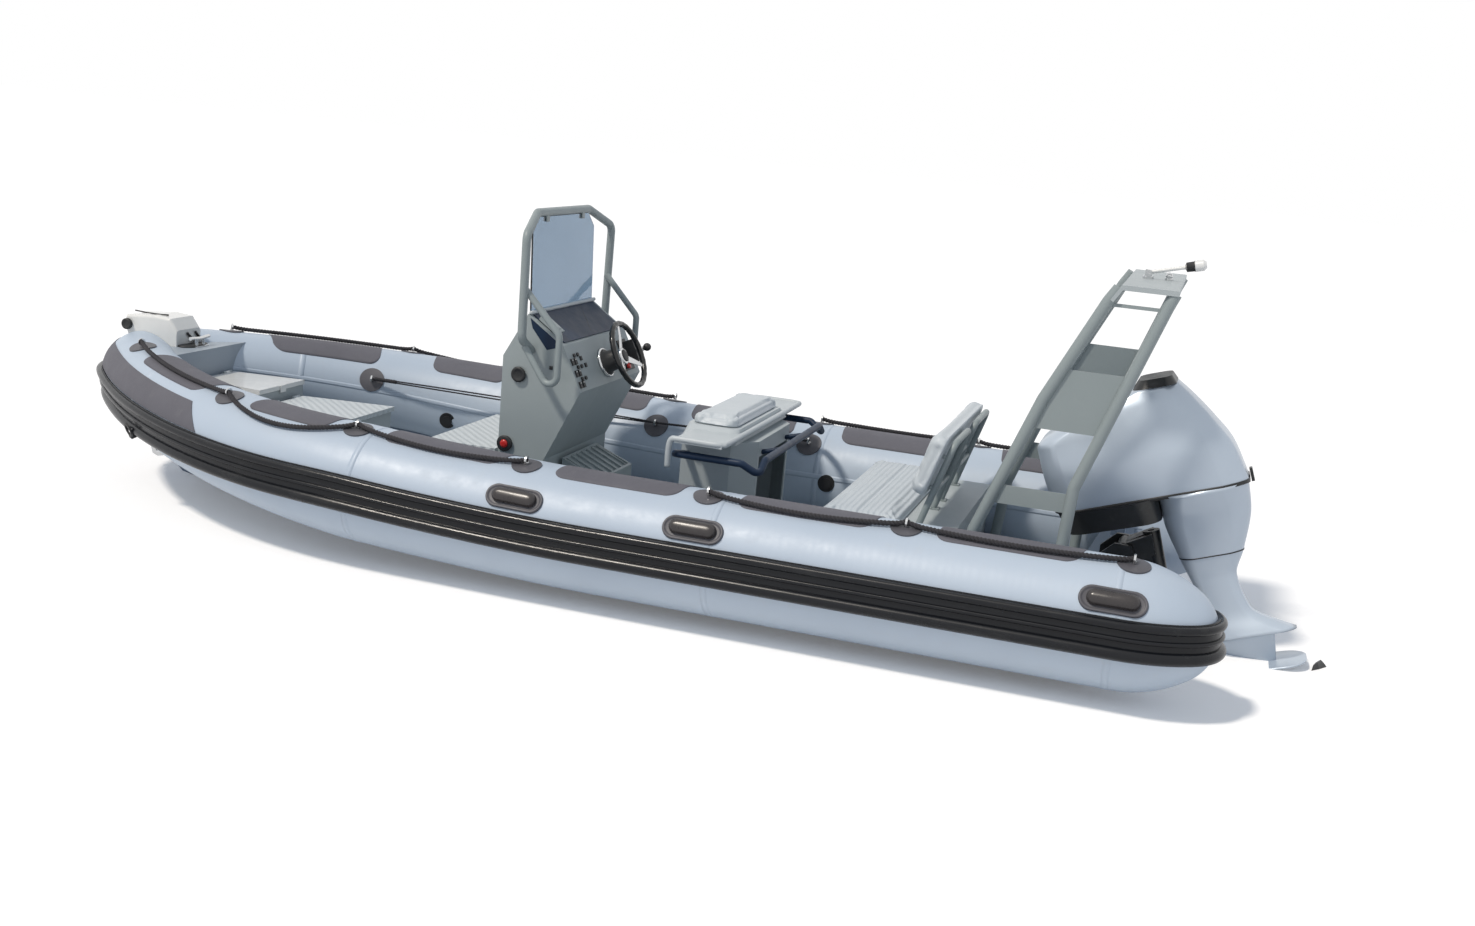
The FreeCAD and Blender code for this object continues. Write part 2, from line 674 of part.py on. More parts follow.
bow_piece = bow_piece.cut(anchor)
node(group("BowPatches", both("BowPatch", [bow_piece])), "bow_patches")

roller_x = "anchor_front - roller_back"
roller = rod("RollerDrum", "roller_radius", "2 * roller_half",
             (roller_x, "0 - roller_half", "roller_level"), ALONG_Y)
axle = rod("RollerAxle", "6", "2 * roller_half + 4", (roller_x, "0 - roller_half - 2", "roller_level"),
           ALONG_Y)
node(fuse("BowRoller", [roller, axle]), "bow_roller")

horn = pipe([Vector(S.cleat_x, -S.cleat_length / 2, seat + 46), Vector(S.cleat_x, 0, seat + 40),
             Vector(S.cleat_x, S.cleat_length / 2, seat + 46)], 9, 200)
legs = [Part.makeCylinder(9, 40, Vector(S.cleat_x, side * 26, seat)) for side in (1, -1)]
foot = Part.makeBox(40, 96, 6, Vector(S.cleat_x - 20, -48, seat))
node(solid("BowCleat", join([horn, foot] + legs)), "bow_cleat")

eye_plate = side_prism([(4750, 62), (4780, 56), (4810, 68), (4826, 122), (4826, 185), (4720, 162),
                        (4720, 82)], -6, 6)
eye_centre = Vector(S.bow_eye_x, -6, S.bow_eye_level)
eye_plate = eye_plate.fuse(Part.makeCylinder(30, 12, eye_centre, Vector(0, 1, 0)))
eye_plate = eye_plate.cut(Part.makeCylinder(S.bow_eye_hole, 12, eye_centre, Vector(0, 1, 0)))
node(cut("BowEye", solid("BowEyeBlank", eye_plate), HULL), "bow_eye")

stern_eyes = []
for side in (1, -1):
    centre = Vector(S.stern_eye_x, side * S.stern_eye_spread, S.stern_eye_level - 5)
    lug = Part.makeBox(-S.stern_eye_x - S.seat_gap, 44, 10, centre - Vector(0, 22, 0))
    lug = lug.fuse(Part.makeCylinder(22, 10, centre))
    lug = lug.fuse(Part.makeBox(6, 60, 60, Vector(-6 - S.seat_gap, centre.y - 30, centre.z - 25)))
    stern_eyes.append(lug.cut(Part.makeCylinder(S.stern_eye_hole, 10, centre)))
node(group("SternEyes", [solid("SternEye%d" % i, lug) for i, lug in enumerate(stern_eyes)]), "stern_eyes")


# Lockers in the bow with hinged lids

def tapered_box(back, front, back_half, front_half, low, high):
    return plan_prism([(back, -back_half), (front, -front_half), (front, front_half), (back, back_half)],
                      low, high)


def hinge(x, z, spread, toward, post):
    """Two butt hinges at +-spread: the fixed barrels, posts and pins, and the knuckles with their
    tongues, which reach a lid on the side toward."""
    low_x, high_x, floor = post
    along = Vector(0, 1, 0)
    length = S.barrel_length
    fixed, moving = [], []
    for middle in (-spread, spread):
        fixed.append(Part.makeCylinder(S.pin_radius, 4 * length + 4, Vector(x, middle - 2 * length - 2, z),
                                       along))
        for start in (middle - 2 * length - 2, middle + length + 2):
            fixed.append(Part.makeCylinder(S.barrel_radius, length, Vector(x, start, z), along))
            fixed.append(Part.makeBox(high_x - low_x, length, z - floor, Vector(low_x, start, floor)))
        knuckle = Part.makeCylinder(S.barrel_radius, 2 * length, Vector(x, middle - length, z), along)
        tongue = Part.makeBox(2 * S.barrel_radius, 2 * length, 5,
                              Vector(min(x, x + toward * 2 * S.barrel_radius),
                                                                       middle - length, z - 5))
        bore = Part.makeCylinder(S.pin_radius + 0.05, 2 * length, Vector(x, middle - length, z), along)
        moving.append(join([knuckle, tongue]).cut(bore))
    return fixed, moving


lid_edge = S.barrel_radius + 1
step_hinge_x = S.step_front - lid_edge
step_top = S.step_level - S.lid_thick - S.lid_gap
step_shape = tapered_box(S.step_back, S.step_front, S.step_half, S.step_front_half, S.deck_level, step_top)
fixed, moving = hinge(step_hinge_x, S.step_level, S.step_front_half - 40, -1,
                      (step_hinge_x - 4, step_hinge_x + 4, step_top - 1))
node(trimmed("StepBox", join([step_shape] + fixed)), "step_box")
step_lid = tapered_box(S.step_back - S.lid_lip, step_hinge_x - lid_edge, S.step_half, S.step_front_half,
                       S.step_level - S.lid_thick, S.step_level)
latch = Part.makeBox(6, 44, 34, Vector(S.step_back - S.lid_lip - 6, -22, S.step_level - 34))
node(trimmed("StepLid", join([step_lid, latch] + moving)), "step_lid")

locker_top = S.locker_level - S.lid_thick - S.lid_gap
locker_hinge_x = S.locker_front - lid_edge
locker = tapered_box(S.locker_back, S.locker_front, S.locker_half - 20, S.locker_nose_half, S.deck_level,
                     locker_top)
locker = locker.cut(tapered_box(S.locker_back + 15, S.locker_front - 15, S.locker_half - 35,
                                S.locker_nose_half - 15, S.deck_level + 15, locker_top + 1))
fixed, moving = hinge(locker_hinge_x, S.locker_level, S.locker_nose_half - 50, -1,
                      (locker_hinge_x - 4, locker_hinge_x + 4, locker_top - 1))
node(trimmed("ForeLocker", join([locker] + fixed)), "fore_locker")
locker_lid = tapered_box(S.locker_back - S.lid_lip, locker_hinge_x - lid_edge, S.locker_half,
                         S.locker_nose_half,
                         S.locker_level - S.lid_thick, S.locker_level)
node(trimmed("ForeLockerLid", join([locker_lid] + moving)), "fore_locker_lid")


# Console: bent side plates and skins, open underneath, with a slanted dash

CONSOLE = [(S.console_foot, S.deck_level), (S.console_foot, S.kick_level), (S.console_back, S.switch_level),
           (S.panel_back, S.panel_level), (S.dash_front, S.dash_level), (S.console_front, S.brow_level),
           (S.console_front, S.seat_level), (S.console_front - 90, S.deck_level)]


def inset(points, wall):
    """The same outline moved inwards by a wall, corner by corner."""
    moved = []
    count = len(points)
    area = sum(points[i][0] * points[(i + 1) % count][1] - points[(i + 1) % count][0] * points[i][1]
               for i in range(count))
    sign = 1 if area > 0 else -1
    lines = []
    for i in range(count):
        (ax, az), (bx, bz) = points[i], points[(i + 1) % count]
        length = math.hypot(bx - ax, bz - az)
        nx, nz = -sign * (bz - az) / length, sign * (bx - ax) / length
        lines.append((ax + nx * wall, az + nz * wall, bx - ax, bz - az))
    for i in range(count):
        ax, az, ux, uz = lines[i - 1]
        bx, bz, vx, vz = lines[i]
        cross = ux * vz - uz * vx
        step = ((bx - ax) * vz - (bz - az) * vx) / cross
        moved.append((ax + ux * step, az + uz * step))
    return moved


shell = side_prism(CONSOLE, -S.console_half, S.console_half)
hollow = side_prism(inset(CONSOLE, S.console_wall), S.console_wall - S.console_half,
                    S.console_half - S.console_wall)
node(solid("ConsoleBody", shell.cut(hollow)), "console_body")

# Console front seat box with its own lid
seat_top = S.seat_level - S.lid_thick - S.lid_gap
seat_hinge_x = S.console_front + 14
front_seat = Part.makeBox(S.seat_front - S.console_front - 10 - S.seat_gap, 2 * S.seat_half,
                          seat_top - S.deck_level,
                          Vector(S.console_front + S.seat_gap, -S.seat_half, S.deck_level))
seat_hollow = Part.makeBox(S.seat_front - S.console_front - 40, 2 * S.seat_half - 30, seat_top - S.deck_level,
                           Vector(S.console_front + 15, 15 - S.seat_half, S.deck_level + 15))
fixed, moving = hinge(seat_hinge_x, S.seat_level, S.seat_half - 80, 1,
                      (seat_hinge_x - 6, seat_hinge_x + 4, seat_top - 1))
node(solid("ConsoleSeatBox", join([front_seat.cut(seat_hollow)] + fixed)), "console_seat_box")
seat_lid_plate = block("ConsoleSeatLidPlate", ("console_front + 14 + barrel_radius + 1", "seat_front"),
                       ("0 - seat_half - lid_lip", "seat_half + lid_lip"),
                       ("seat_level - lid_thick", "seat_level"))
knuckles = [solid("ConsoleSeatKnuckle%d" % i, shape) for i, shape in enumerate(moving)]
node(fuse("ConsoleSeatLid", [seat_lid_plate] + knuckles), "console_seat_lid")


def on_slope(low, high, share, out):
    """A point between two (x, z) corners, moved out square to the slope, towards the stern."""
    (ax, az), (bx, bz) = low, high
    length = math.hypot(bx - ax, bz - az)
    ux, uz = (bx - ax) / length, (bz - az) / length
    return Vector(ax + (bx - ax) * share - uz * out, 0, az + (bz - az) * share + ux * out)


SWITCH_FACE = ((S.console_back, S.switch_level), (S.panel_back, S.panel_level))
DASH_FACE = ((S.panel_back, S.panel_level), (S.dash_front, S.dash_level))


def on_face(edge, share, y, out, shape):
    """Places a shape made around +Z on one of the console's sloping faces."""
    at = on_slope(edge[0], edge[1], share, out)
    (ax, az), (bx, bz) = edge
    tilt = -math.degrees(math.atan2(bz - az, bx - ax))
    shape.Placement = Placement(Vector(at.x, y, at.z), Rotation(Vector(0, 1, 0), tilt))
    return shape


dash_length = math.hypot(S.dash_front - S.panel_back, S.dash_level - S.panel_level)
display = Part.makeBox(dash_length - 24, 2 * S.console_half - 60, 5,
                       Vector(12 - dash_length / 2, 30 - S.console_half, 0))
display = on_face(DASH_FACE, 0.5, 0, S.seat_gap, display)
node(solid("ConsoleDash", display), "console_dash")

# Windscreen: a pane from the top of the dash to the hoop's top bar
glass_foot = Vector(S.dash_front - 6, 0, S.dash_level - 30)
glass_head = Vector(S.post_x + S.hoop_lean - 8, 0, S.hoop_level - S.post_radius + 8)
pane = side_prism([(glass_foot.x, glass_foot.z), (glass_head.x, glass_head.z),
                   (glass_head.x + S.glass_thick, glass_head.z),
                   (glass_foot.x + S.glass_thick, glass_foot.z)],
                  -S.glass_half, S.glass_half)
corner = 70
shape_in_y = [(-S.glass_half, 900), (-S.glass_half, glass_head.z - corner),
              (corner - S.glass_half, glass_head.z - 8),
              (S.glass_half - corner, glass_head.z - 8), (S.glass_half, glass_head.z - corner),
              (S.glass_half, 900)]
mask = face([Vector(2500, y, z) for y, z in shape_in_y]).extrude(Vector(300, 0, 0))

# Hoop with a grab rail on each side
hoop = pipe([Vector(S.post_x, S.console_half + 4, S.post_foot),
             Vector(S.post_x, S.post_spread - 8, S.post_foot + 60),
             Vector(S.post_x, S.post_spread, S.hoop_bend_level),
             Vector(S.post_x + S.hoop_lean, S.hoop_half, S.hoop_level),
             Vector(S.post_x + S.hoop_lean, -S.hoop_half, S.hoop_level),
             Vector(S.post_x, -S.post_spread, S.hoop_bend_level),
             Vector(S.post_x, 8 - S.post_spread, S.post_foot + 60),
             Vector(S.post_x, -S.console_half - 4, S.post_foot)],
            S.post_radius, 45)
pane = pane.common(mask).cut(shell).cut(display).cut(hoop)
node(solid("Windscreen", pane), "windscreen")
rails = []
for side in (1, -1):
    y = side * S.rail_spread
    rails.append(pipe([Vector(S.post_x, y, S.rail_top), Vector(S.rail_back, y, S.rail_kink),
                       Vector(S.rail_back, y, S.rail_low), Vector(S.post_x, side * 440, S.post_foot + 25)],
                      S.rail_radius, 40))
clips = [Part.makeBox(22, 30, 34, Vector(glass_head.x - 6, y - 15, glass_head.z - 30)) for y in (-200, 200)]
frame = join([hoop] + rails + clips)
node(solid("ConsoleHoop", frame.cut(shell).cut(pane)), "console_hoop")

# Helm boss, steering wheel, throttle and small fittings
helm_share = 0.42
boss = Part.makeCylinder(S.boss_radius, S.wheel_stand * 0.5)
boss = boss.cut(Part.makeCylinder(11.06, S.wheel_stand, Vector(0, 0, 20)))
node(solid("HelmBoss", on_face(SWITCH_FACE, helm_share, 0, S.seat_gap, boss)), "helm_boss")


def steering_wheel():
    """Rim, three spokes and a hub, around local +Z."""
    rim = Part.makeTorus(S.wheel_radius - S.wheel_rim, S.wheel_rim)
    hub = Part.makeCylinder(34, 22, Vector(0, 0, -38))
    shaft = Part.makeCylinder(11, 56, Vector(0, 0, -94))
    pieces = [rim, hub, shaft]
    reach = S.wheel_radius - S.wheel_rim
    for count in range(3):
        spoke = side_prism([(20, -32), (reach, -3), (reach, 3), (20, -24)], -13, 13)
        pieces.append(spoke.rotated(Vector(), Vector(0, 0, 1), 90 + 120 * count))
    return join(pieces)


WHEEL = on_slope(SWITCH_FACE[0], SWITCH_FACE[1], helm_share, S.wheel_stand)
node(solid("SteeringWheel", on_face(SWITCH_FACE, helm_share, 0, S.wheel_stand, steering_wheel())),
     "steering_wheel")

throttle_box = Part.makeBox(110, 60, 70, Vector(-40, -30, 0))
lever = pipe([Vector(10, 0, 60), Vector(10, 0, 108)], 9, 10).fuse(Part.makeSphere(19, Vector(10, 0, 118)))
throttle = on_face(SWITCH_FACE, 0.4, -265, S.seat_gap, throttle_box.fuse(lever))
node(solid("Throttle", throttle), "throttle")

fittings = []
for count, (share, y) in enumerate([(0.75, 300), (0.75, 262), (0.5, 300), (0.5, 262), (0.25, 300),
                                    (0.25, 262)]):
    fittings.append(on_face(SWITCH_FACE, share, y, S.seat_gap, Part.makeCylinder(9, 7)))
kill = Part.makeCylinder(24, 10).fuse(Part.makeCylinder(13, 26))
fittings.append(on_face(SWITCH_FACE, 0.2, -190, S.seat_gap, kill))
for x, z, radius in ((2640, 815, 30), (2688, 497, 34)):
    port = Part.makeCylinder(radius, 8, Vector(x, S.console_half + S.seat_gap, z), Vector(0, 1, 0))
    fittings.append(port)
node(group("ConsoleFittings", [solid("ConsoleFitting%d" % i, f) for i, f in enumerate(fittings)]),
     "console_fittings")

foot_shape = side_prism([(S.foot_back, S.deck_level), (S.foot_front, S.deck_level),
                         (S.foot_front, S.foot_level), (S.foot_back, S.foot_level - S.foot_drop)],
                        -S.foot_half, S.foot_half)
foot_tray = side_prism([(S.foot_back + 12, S.foot_level - S.foot_drop - 12),
                        (S.foot_front - 12, S.foot_level - 12),
                        (S.foot_front - 12, S.foot_level + 20), (S.foot_back + 12, S.foot_level)],
                       12 - S.foot_half, S.foot_half - 12)
slats = []
for count in range(7):
    y = -S.foot_half + 25 + count * (2 * S.foot_half - 50) / 6
    slats.append(side_prism([(S.foot_back + 12, S.foot_level - S.foot_drop - 12),
                             (S.foot_front - 12, S.foot_level - 12),
                             (S.foot_front - 12, S.foot_level - 2),
                             (S.foot_back + 12, S.foot_level - S.foot_drop - 2)],
                            y - 4, y + 4))
node(solid("Footrest", join([foot_shape.cut(foot_tray)] + slats)), "footrest")


# Centre seat: box with chamfered corners and an opening in its back, hinged lid, cushion, rail

def pod_outline(wall):
    """The seat box in plan, inside its outer face by a wall."""
    chamfer = S.pod_half - S.pod_open
    back, front = S.pod_back + wall, S.pod_front - wall
    half = S.pod_half - wall
    open_half = half - chamfer
    return [(back, -open_half), (back + 0.75 * chamfer, -half), (front, -half), (front, half),
            (back + 0.75 * chamfer, half), (back, open_half)]


pod_top = S.pod_level - S.lid_gap
pod_blank = plan_prism(pod_outline(0), S.deck_level, pod_top)
pod = pod_blank.cut(plan_prism(pod_outline(S.pod_wall), S.deck_level + S.pod_wall, pod_top - S.pod_wall))
mouth = Part.makeBox(4 * S.pod_wall, 2 * S.pod_open - 40, pod_top - S.deck_level - 130,
                     Vector(S.pod_back - S.pod_wall, 20 - S.pod_open, S.deck_level + 60))
pod_hinge_x = S.pod_front + lid_edge
pod_hinge_z = S.pod_level + 5 + S.lid_gap
post = (S.pod_front - 2, pod_hinge_x + 4, S.pod_level - 22)
fixed, moving = hinge(pod_hinge_x, pod_hinge_z, S.pod_open, -1, post)
over_pod = Part.makeBox(20, 2 * S.pod_half, 40, Vector(S.pod_front - 20, -S.pod_half, pod_top))
node(solid("SeatBox", join([pod.cut(mouth)] + fixed).cut(over_pod)), "seat_box")

wing = Part.makeBox(S.wing_front - S.wing_back, 2 * S.wing_half, 20,
                    Vector(S.wing_back, -S.wing_half, S.wing_level - 36))
pan_low = rounded(S.wing_back, S.pod_front, S.pod_half + 60, 40, S.pod_level)
pan_high = rounded(S.wing_back + 12, S.pod_front - 6, S.cushion_half + 12, 40, S.wing_level)
pan = Part.makeLoft([pan_low, pan_high], True, True)
node(solid("SeatLid", join([wing, pan] + moving)), "seat_lid")
cushion = Part.makeLoft([rounded(S.wing_back + 20, S.pod_front - 12, S.cushion_half, 40,
                                 S.wing_level + S.seat_gap),
                         rounded(S.wing_back + 20, S.pod_front - 12, S.cushion_half, 40,
                                 S.wing_level + S.cushion_thick)], True, True)
node(solid("SeatCushion", cushion), "seat_cushion")

rail_z = S.seat_rail_level
half = S.seat_rail_half
seat_rail = pipe([Vector(S.pod_front - 30, S.pod_half, rail_z - 40), Vector(S.pod_front - 30, half, rail_z),
                  Vector(S.pod_back - 20, half, rail_z), Vector(S.pod_back - 90, half - 30, rail_z - 45),
                  Vector(S.pod_back - 90, half - 110, rail_z + 5),
                  Vector(S.pod_back - 90, 110 - half, rail_z + 5),
                  Vector(S.pod_back - 90, 30 - half, rail_z - 45), Vector(S.pod_back - 20, -half, rail_z),
                  Vector(S.pod_front - 30, -half, rail_z),
                  Vector(S.pod_front - 30, -S.pod_half, rail_z - 40)],
                 S.seat_rail_radius, 34)
stays = []
for side in (1, -1):
    y = side * (S.pod_open - 60)
    stays.append(pipe([Vector(S.pod_back - 90, y, rail_z + 5), Vector(S.pod_back, y, rail_z - 20)], 11, 10))
node(solid("SeatRail", join([seat_rail] + stays).cut(pod_blank)), "seat_rail")


# Rear bench

bench = block("BenchOuter", ("bench_back", "bench_front"), ("0 - bench_half", "bench_half"),
              ("deck_level", "bench_level"))
bench_inside = block("BenchInside", ("bench_back + pod_wall", "bench_front - pod_wall"),
                     ("pod_wall - bench_half", "bench_half - pod_wall"),
                     ("deck_level + pod_wall", "bench_level - pod_wall"))
node(cut("BenchBox", bench, bench_inside), "bench_box")
quilt = Part.makeLoft([rounded(S.quilt_back, S.bench_front + 12, S.bench_half, 30,
                               S.bench_level + S.seat_gap),
                       rounded(S.quilt_back, S.bench_front + 12, S.bench_half, 30,
                               S.bench_level + S.quilt_thick)], True, True)
node(solid("BenchCushion", quilt), "bench_cushion")

back_lean = (S.back_foot_x - S.back_top_x) / (S.back_high - S.back_low)


def back_x(z):
    """Aft face of the backrest cushion at a height."""
    return S.back_foot_x - (z - S.back_low) * back_lean - 10


back = side_prism([(back_x(S.back_low), S.back_low), (back_x(S.back_high), S.back_high),
                   (back_x(S.back_high) + S.back_thick, S.back_high),
                   (back_x(S.back_low) + S.back_thick, S.back_low)],
                  -S.back_half, S.back_half)
back = back.makeFillet(18, [e for e in back.Edges if abs(e.tangentAt(e.FirstParameter).y) < 0.1])
node(solid("BackrestCushion", back), "backrest_cushion")

# Two tubular loops behind the backrest, standing on feet and holding it on short stand-offs
loops = []
stand_off = S.loop_radius + S.loop_stand


def loop_point(y, z):
    return Vector(back_x(z) - stand_off, y, z)


foot_z = S.bench_level + 6
low_z = S.back_low + 30
high_z = S.back_high - 30
for side in (1, -1):
    inner, outer = side * 90, side * (S.back_half - 60)
    loops.append(pipe([loop_point(outer, foot_z), loop_point(outer, high_z), loop_point(inner, high_z),
                       loop_point(inner, foot_z)], S.loop_radius, 45))
    loops.append(pipe([loop_point(outer, low_z), loop_point(inner, low_z)], S.loop_radius * 0.8, 10))
    for y in (inner, outer):
        for z in (low_z + 20, high_z - 60):
            loops.append(Part.makeCylinder(9, stand_off + 20, loop_point(y, z), Vector(1, 0, 0)))
        foot_x = loop_point(y, foot_z).x
        loops.append(Part.makeBox(50, 50, 6, Vector(foot_x - 25, y - 25, S.bench_level + S.seat_gap)))
loops.append(pipe([loop_point(-100, (low_z + high_z) / 2), loop_point(100, (low_z + high_z) / 2)],
                  S.loop_radius * 0.8, 10))
node(solid("BackrestFrame", join(loops).cut(back)), "backrest_frame")


# Light arch: on each side a front and a rear leg with sheet panels, and a flat crown across

def leg_y(side, z):
    """The legs lean in from the feet to the crown."""
    share = (z - S.deck_level) / (S.arch_level - S.deck_level)
    return side * (S.arch_foot_half + (S.arch_top_half - S.arch_foot_half) * share)


def leg_point(side, x, z):
    return Vector(x, leg_y(side, z), z)


def front_x(z):
    if z < S.front_knee:
        return S.front_foot_x + (S.front_knee_x - S.front_foot_x) * (z - 480) / (S.front_knee - 480)
    share = (z - S.front_knee) / (S.arch_level - S.front_knee)
    return S.front_knee_x + (S.front_top_x - S.front_knee_x) * share


def rear_x(z):
    if z < S.rear_knee:
        return S.rear_foot_x + (S.rear_knee_x - S.rear_foot_x) * (z - 480) / (S.rear_knee - 480)
    return S.rear_knee_x + (S.rear_top_x - S.rear_knee_x) * (z - S.rear_knee) / (S.arch_level - S.rear_knee)


foot_level = S.deck_level + S.seat_gap
arch = []
sheets = []
for side in (1, -1):
    arch.append(pipe([leg_point(side, S.bench_back - 50, foot_level), leg_point(side, front_x(480), 480),
                      leg_point(side, S.front_knee_x, S.front_knee),
                      leg_point(side, S.front_top_x, S.arch_level),
                      leg_point(side, S.front_top_x - 34, S.arch_crown)], S.leg_radius, 60))
    arch.append(pipe([leg_point(side, S.rear_foot_x, foot_level), leg_point(side, S.rear_knee_x, S.rear_knee),
                      leg_point(side, S.rear_top_x, S.arch_level),
                      leg_point(side, S.rear_top_x - 22, S.arch_crown)],
                     S.leg_radius, 60))
    for high, low in ((S.panel_high, S.panel_low), (S.low_rail_high, S.low_rail_low),
                      (S.top_sheet_high, S.top_sheet_low)):
        corners = [leg_point(side, front_x(high), high), leg_point(side, rear_x(high), high),
                   leg_point(side, rear_x(low), low), leg_point(side, front_x(low), low)]
        plate = face(corners).extrude(Vector(0, S.sheet_thick, 0))
        plate = plate.translated(Vector(0, -S.sheet_thick / 2, 0))
        sheets.append(plate)
legs = join(arch).cut(deck_plate)
crown_points = [(S.front_top_x - 8, S.arch_level + 8), (S.front_top_x - 44, S.arch_crown + 14),
                (S.rear_top_x - 36, S.arch_crown + 14), (S.rear_top_x - 36, S.arch_crown - 6),
                (S.front_top_x - 50, S.arch_crown - 6), (S.front_top_x - 20, S.arch_level)]
crown_y = S.arch_top_half + S.leg_radius
arch_top = side_prism(crown_points, -crown_y, crown_y).cut(legs)
node(solid("ArchTop", arch_top), "arch_top")
node(solid("ArchFrame", legs), "arch_frame")
sheet_parts = [solid("ArchSheet%d" % i, plate.cut(legs).cut(arch_top)) for i, plate in enumerate(sheets)]
node(group("ArchPanels", sheet_parts), "arch_panels")

light_z = S.arch_crown + 14 + S.seat_gap
light_base = Part.makeCylinder(22, 12, Vector(S.light_x, S.light_y, light_z))
ears = [Part.makeBox(26, 5, 36, Vector(S.light_x - 13, S.light_y + y, light_z)) for y in (-17, 12)]
knob = Part.makeCylinder(16, 10, Vector(S.rear_top_x + 25, S.light_y - 30, light_z))
knob = knob.fuse(Part.makeSphere(15, Vector(S.rear_top_x + 25, S.light_y - 30, light_z + 18)))
LIGHT_PIVOT = Vector(S.light_x, S.light_y, light_z + 26)
rise = math.radians(S.pole_rise)
along = Vector(-math.cos(rise), 0, math.sin(rise))
pole = Part.makeCylinder(S.pole_radius, S.pole_length, LIGHT_PIVOT, along)
knuckle = Part.makeCylinder(11, 22, LIGHT_PIVOT - Vector(0, 11, 0), Vector(0, 1, 0))
light_pin = Part.makeCylinder(4, 34, LIGHT_PIVOT - Vector(0, 17, 0), Vector(0, 1, 0))
light_bore = Part.makeCylinder(4.05, 34, LIGHT_PIVOT - Vector(0, 17, 0), Vector(0, 1, 0))
lamp_base = Part.makeCylinder(19, 34, LIGHT_PIVOT + along * (S.pole_length - 6), along)
socket = join([light_base, light_pin] + ears)
node(group("LightBase", [solid("LightSocket", socket), solid("HornKnob", knob)]), "light_base")
lamp_at = LIGHT_PIVOT + along * (S.pole_length + 28)
globe = Part.makeCylinder(23, 34, lamp_at, along).fuse(Part.makeCone(23, 13, 12, lamp_at + along * 34, along))
node(solid("LightPole", join([pole, knuckle, lamp_base]).cut(light_bore)), "light_pole")
node(solid("LightGlobe", globe), "light_globe")


# Outboard engine, made upright and then trimmed up about the tilt pin

PIVOT = Vector(S.tilt_x, 0, S.tilt_level)
TRIM = Placement(Vector(), Rotation(Vector(0, 1, 0), S.trim_angle), PIVOT)


def trimmed_up(name, shape, label):
    obj = solid(name, shape)
    obj.Placement = TRIM
    return node(obj, label)


# Clamp bracket: two plates hooked over the transom, with the tilt pin through them
clamps = []
for side in (1, -1):
    y = side * 96
    plate_points = [(-60, 80), (-S.seat_gap, 80), (-S.seat_gap, S.notch_top + S.seat_gap),
                    (S.transom_thick + S.seat_gap, S.notch_top + S.seat_gap),
                    (S.transom_thick + S.seat_gap, 240),
                    (S.transom_thick + 24, 240), (S.transom_thick + 24, S.notch_top + 25),
                    (20, S.tilt_level + 32),
                    (-50, S.tilt_level + 32), (-78, S.tilt_level - 40)]
    clamps.append(side_prism(plate_points, y - 9, y + 9))
    clamps.append(Part.makeCylinder(12, 30, Vector(S.transom_thick + 24, y, 270), Vector(1, 0, 0)))
pin = Part.makeCylinder(16, 192, PIVOT - Vector(0, 96, 0), Vector(0, 1, 0))
node(solid("ClampBracket", join(clamps + [pin])), "clamp_bracket")

# Swivel bracket: sleeve on the tilt pin, web and steering tube
swivel_half = 74
sleeve = Part.makeCylinder(32, 2 * swivel_half, PIVOT - Vector(0, swivel_half, 0), Vector(0, 1, 0))
steer_tube = Part.makeCylinder(S.steer_radius, 330, Vector(S.steer_x, 0, 110))
web = side_prism([(S.tilt_x - 10, S.tilt_level - 28), (S.tilt_x - 10, S.tilt_level + 28),
                  (S.steer_x, 440), (S.steer_x, 130), (S.steer_x + 40, 130), (S.steer_x + 62, 240)], -34, 34)
arms = side_prism([(S.tilt_x, S.tilt_level - 26), (S.tilt_x, S.tilt_level + 26), (S.steer_x - 6, 436),
                   (S.steer_x - 6, 350), (S.tilt_x - 40, S.tilt_level - 60)], -swivel_half, swivel_half)
bore = Part.makeCylinder(16.08, 400, PIVOT - Vector(0, 200, 0), Vector(0, 1, 0))
swivel = join([sleeve, steer_tube, web, arms]).cut(bore)
swivel = swivel.cut(Part.makeCylinder(14.06, 400, Vector(S.steer_x, 0, 100)))
swivel = swivel.cut(Part.makeCylinder(S.steer_radius + 9, 600, Vector(S.steer_x, 0, 445)))
trimmed_up("SwivelBracket", swivel, "swivel_bracket")

# Lower pan under the cowl, with the yoke that carries the engine on the steering tube
cowl_sections = [
    # height, back, front, half width, corner
    (S.seam_level, S.cowl_back, S.cowl_front - 25, S.cowl_half - 10, 110),
    (S.seam_level + 150, S.cowl_back + 34, S.cowl_front - 5, S.cowl_half, 100),
    (S.seam_level + 275, S.cowl_back + 99, S.cowl_front, S.cowl_half - 22, 85),
    (S.seam_level + 385, S.cowl_back + 168, S.cowl_front - 225, S.cowl_half - 62, 75),
    (S.cowl_top, S.cowl_back + 210, S.cowl_front - 400, S.cowl_half - 105, 60),
]
cowl = Part.makeLoft([rounded(b, f, w, c, z) for z, b, f, w, c in cowl_sections], True, True)
trimmed_up("Cowl", cowl, "cowl")
cap = Part.makeLoft([rounded(S.cowl_back + 212, S.cowl_front - 420, S.cowl_half - 112, 50,
                             S.cowl_top + S.seat_gap),
                     rounded(S.cowl_back + 226, S.cowl_front - 450, S.cowl_half - 135, 40, S.cap_top)],
                     True, True)
trimmed_up("CowlCap", cap, "cowl_cap")

pan = Part.makeLoft([rounded(S.steer_x - 60, S.cowl_front - 60, S.cowl_half - 55, 80, S.pan_level),
                     rounded(S.steer_x - 60, S.cowl_front - 33, S.cowl_half - 18, 100,
                             S.seam_level - S.seat_gap)],
                    True, True)
trimmed_up("LowerPan", pan, "lower_pan")

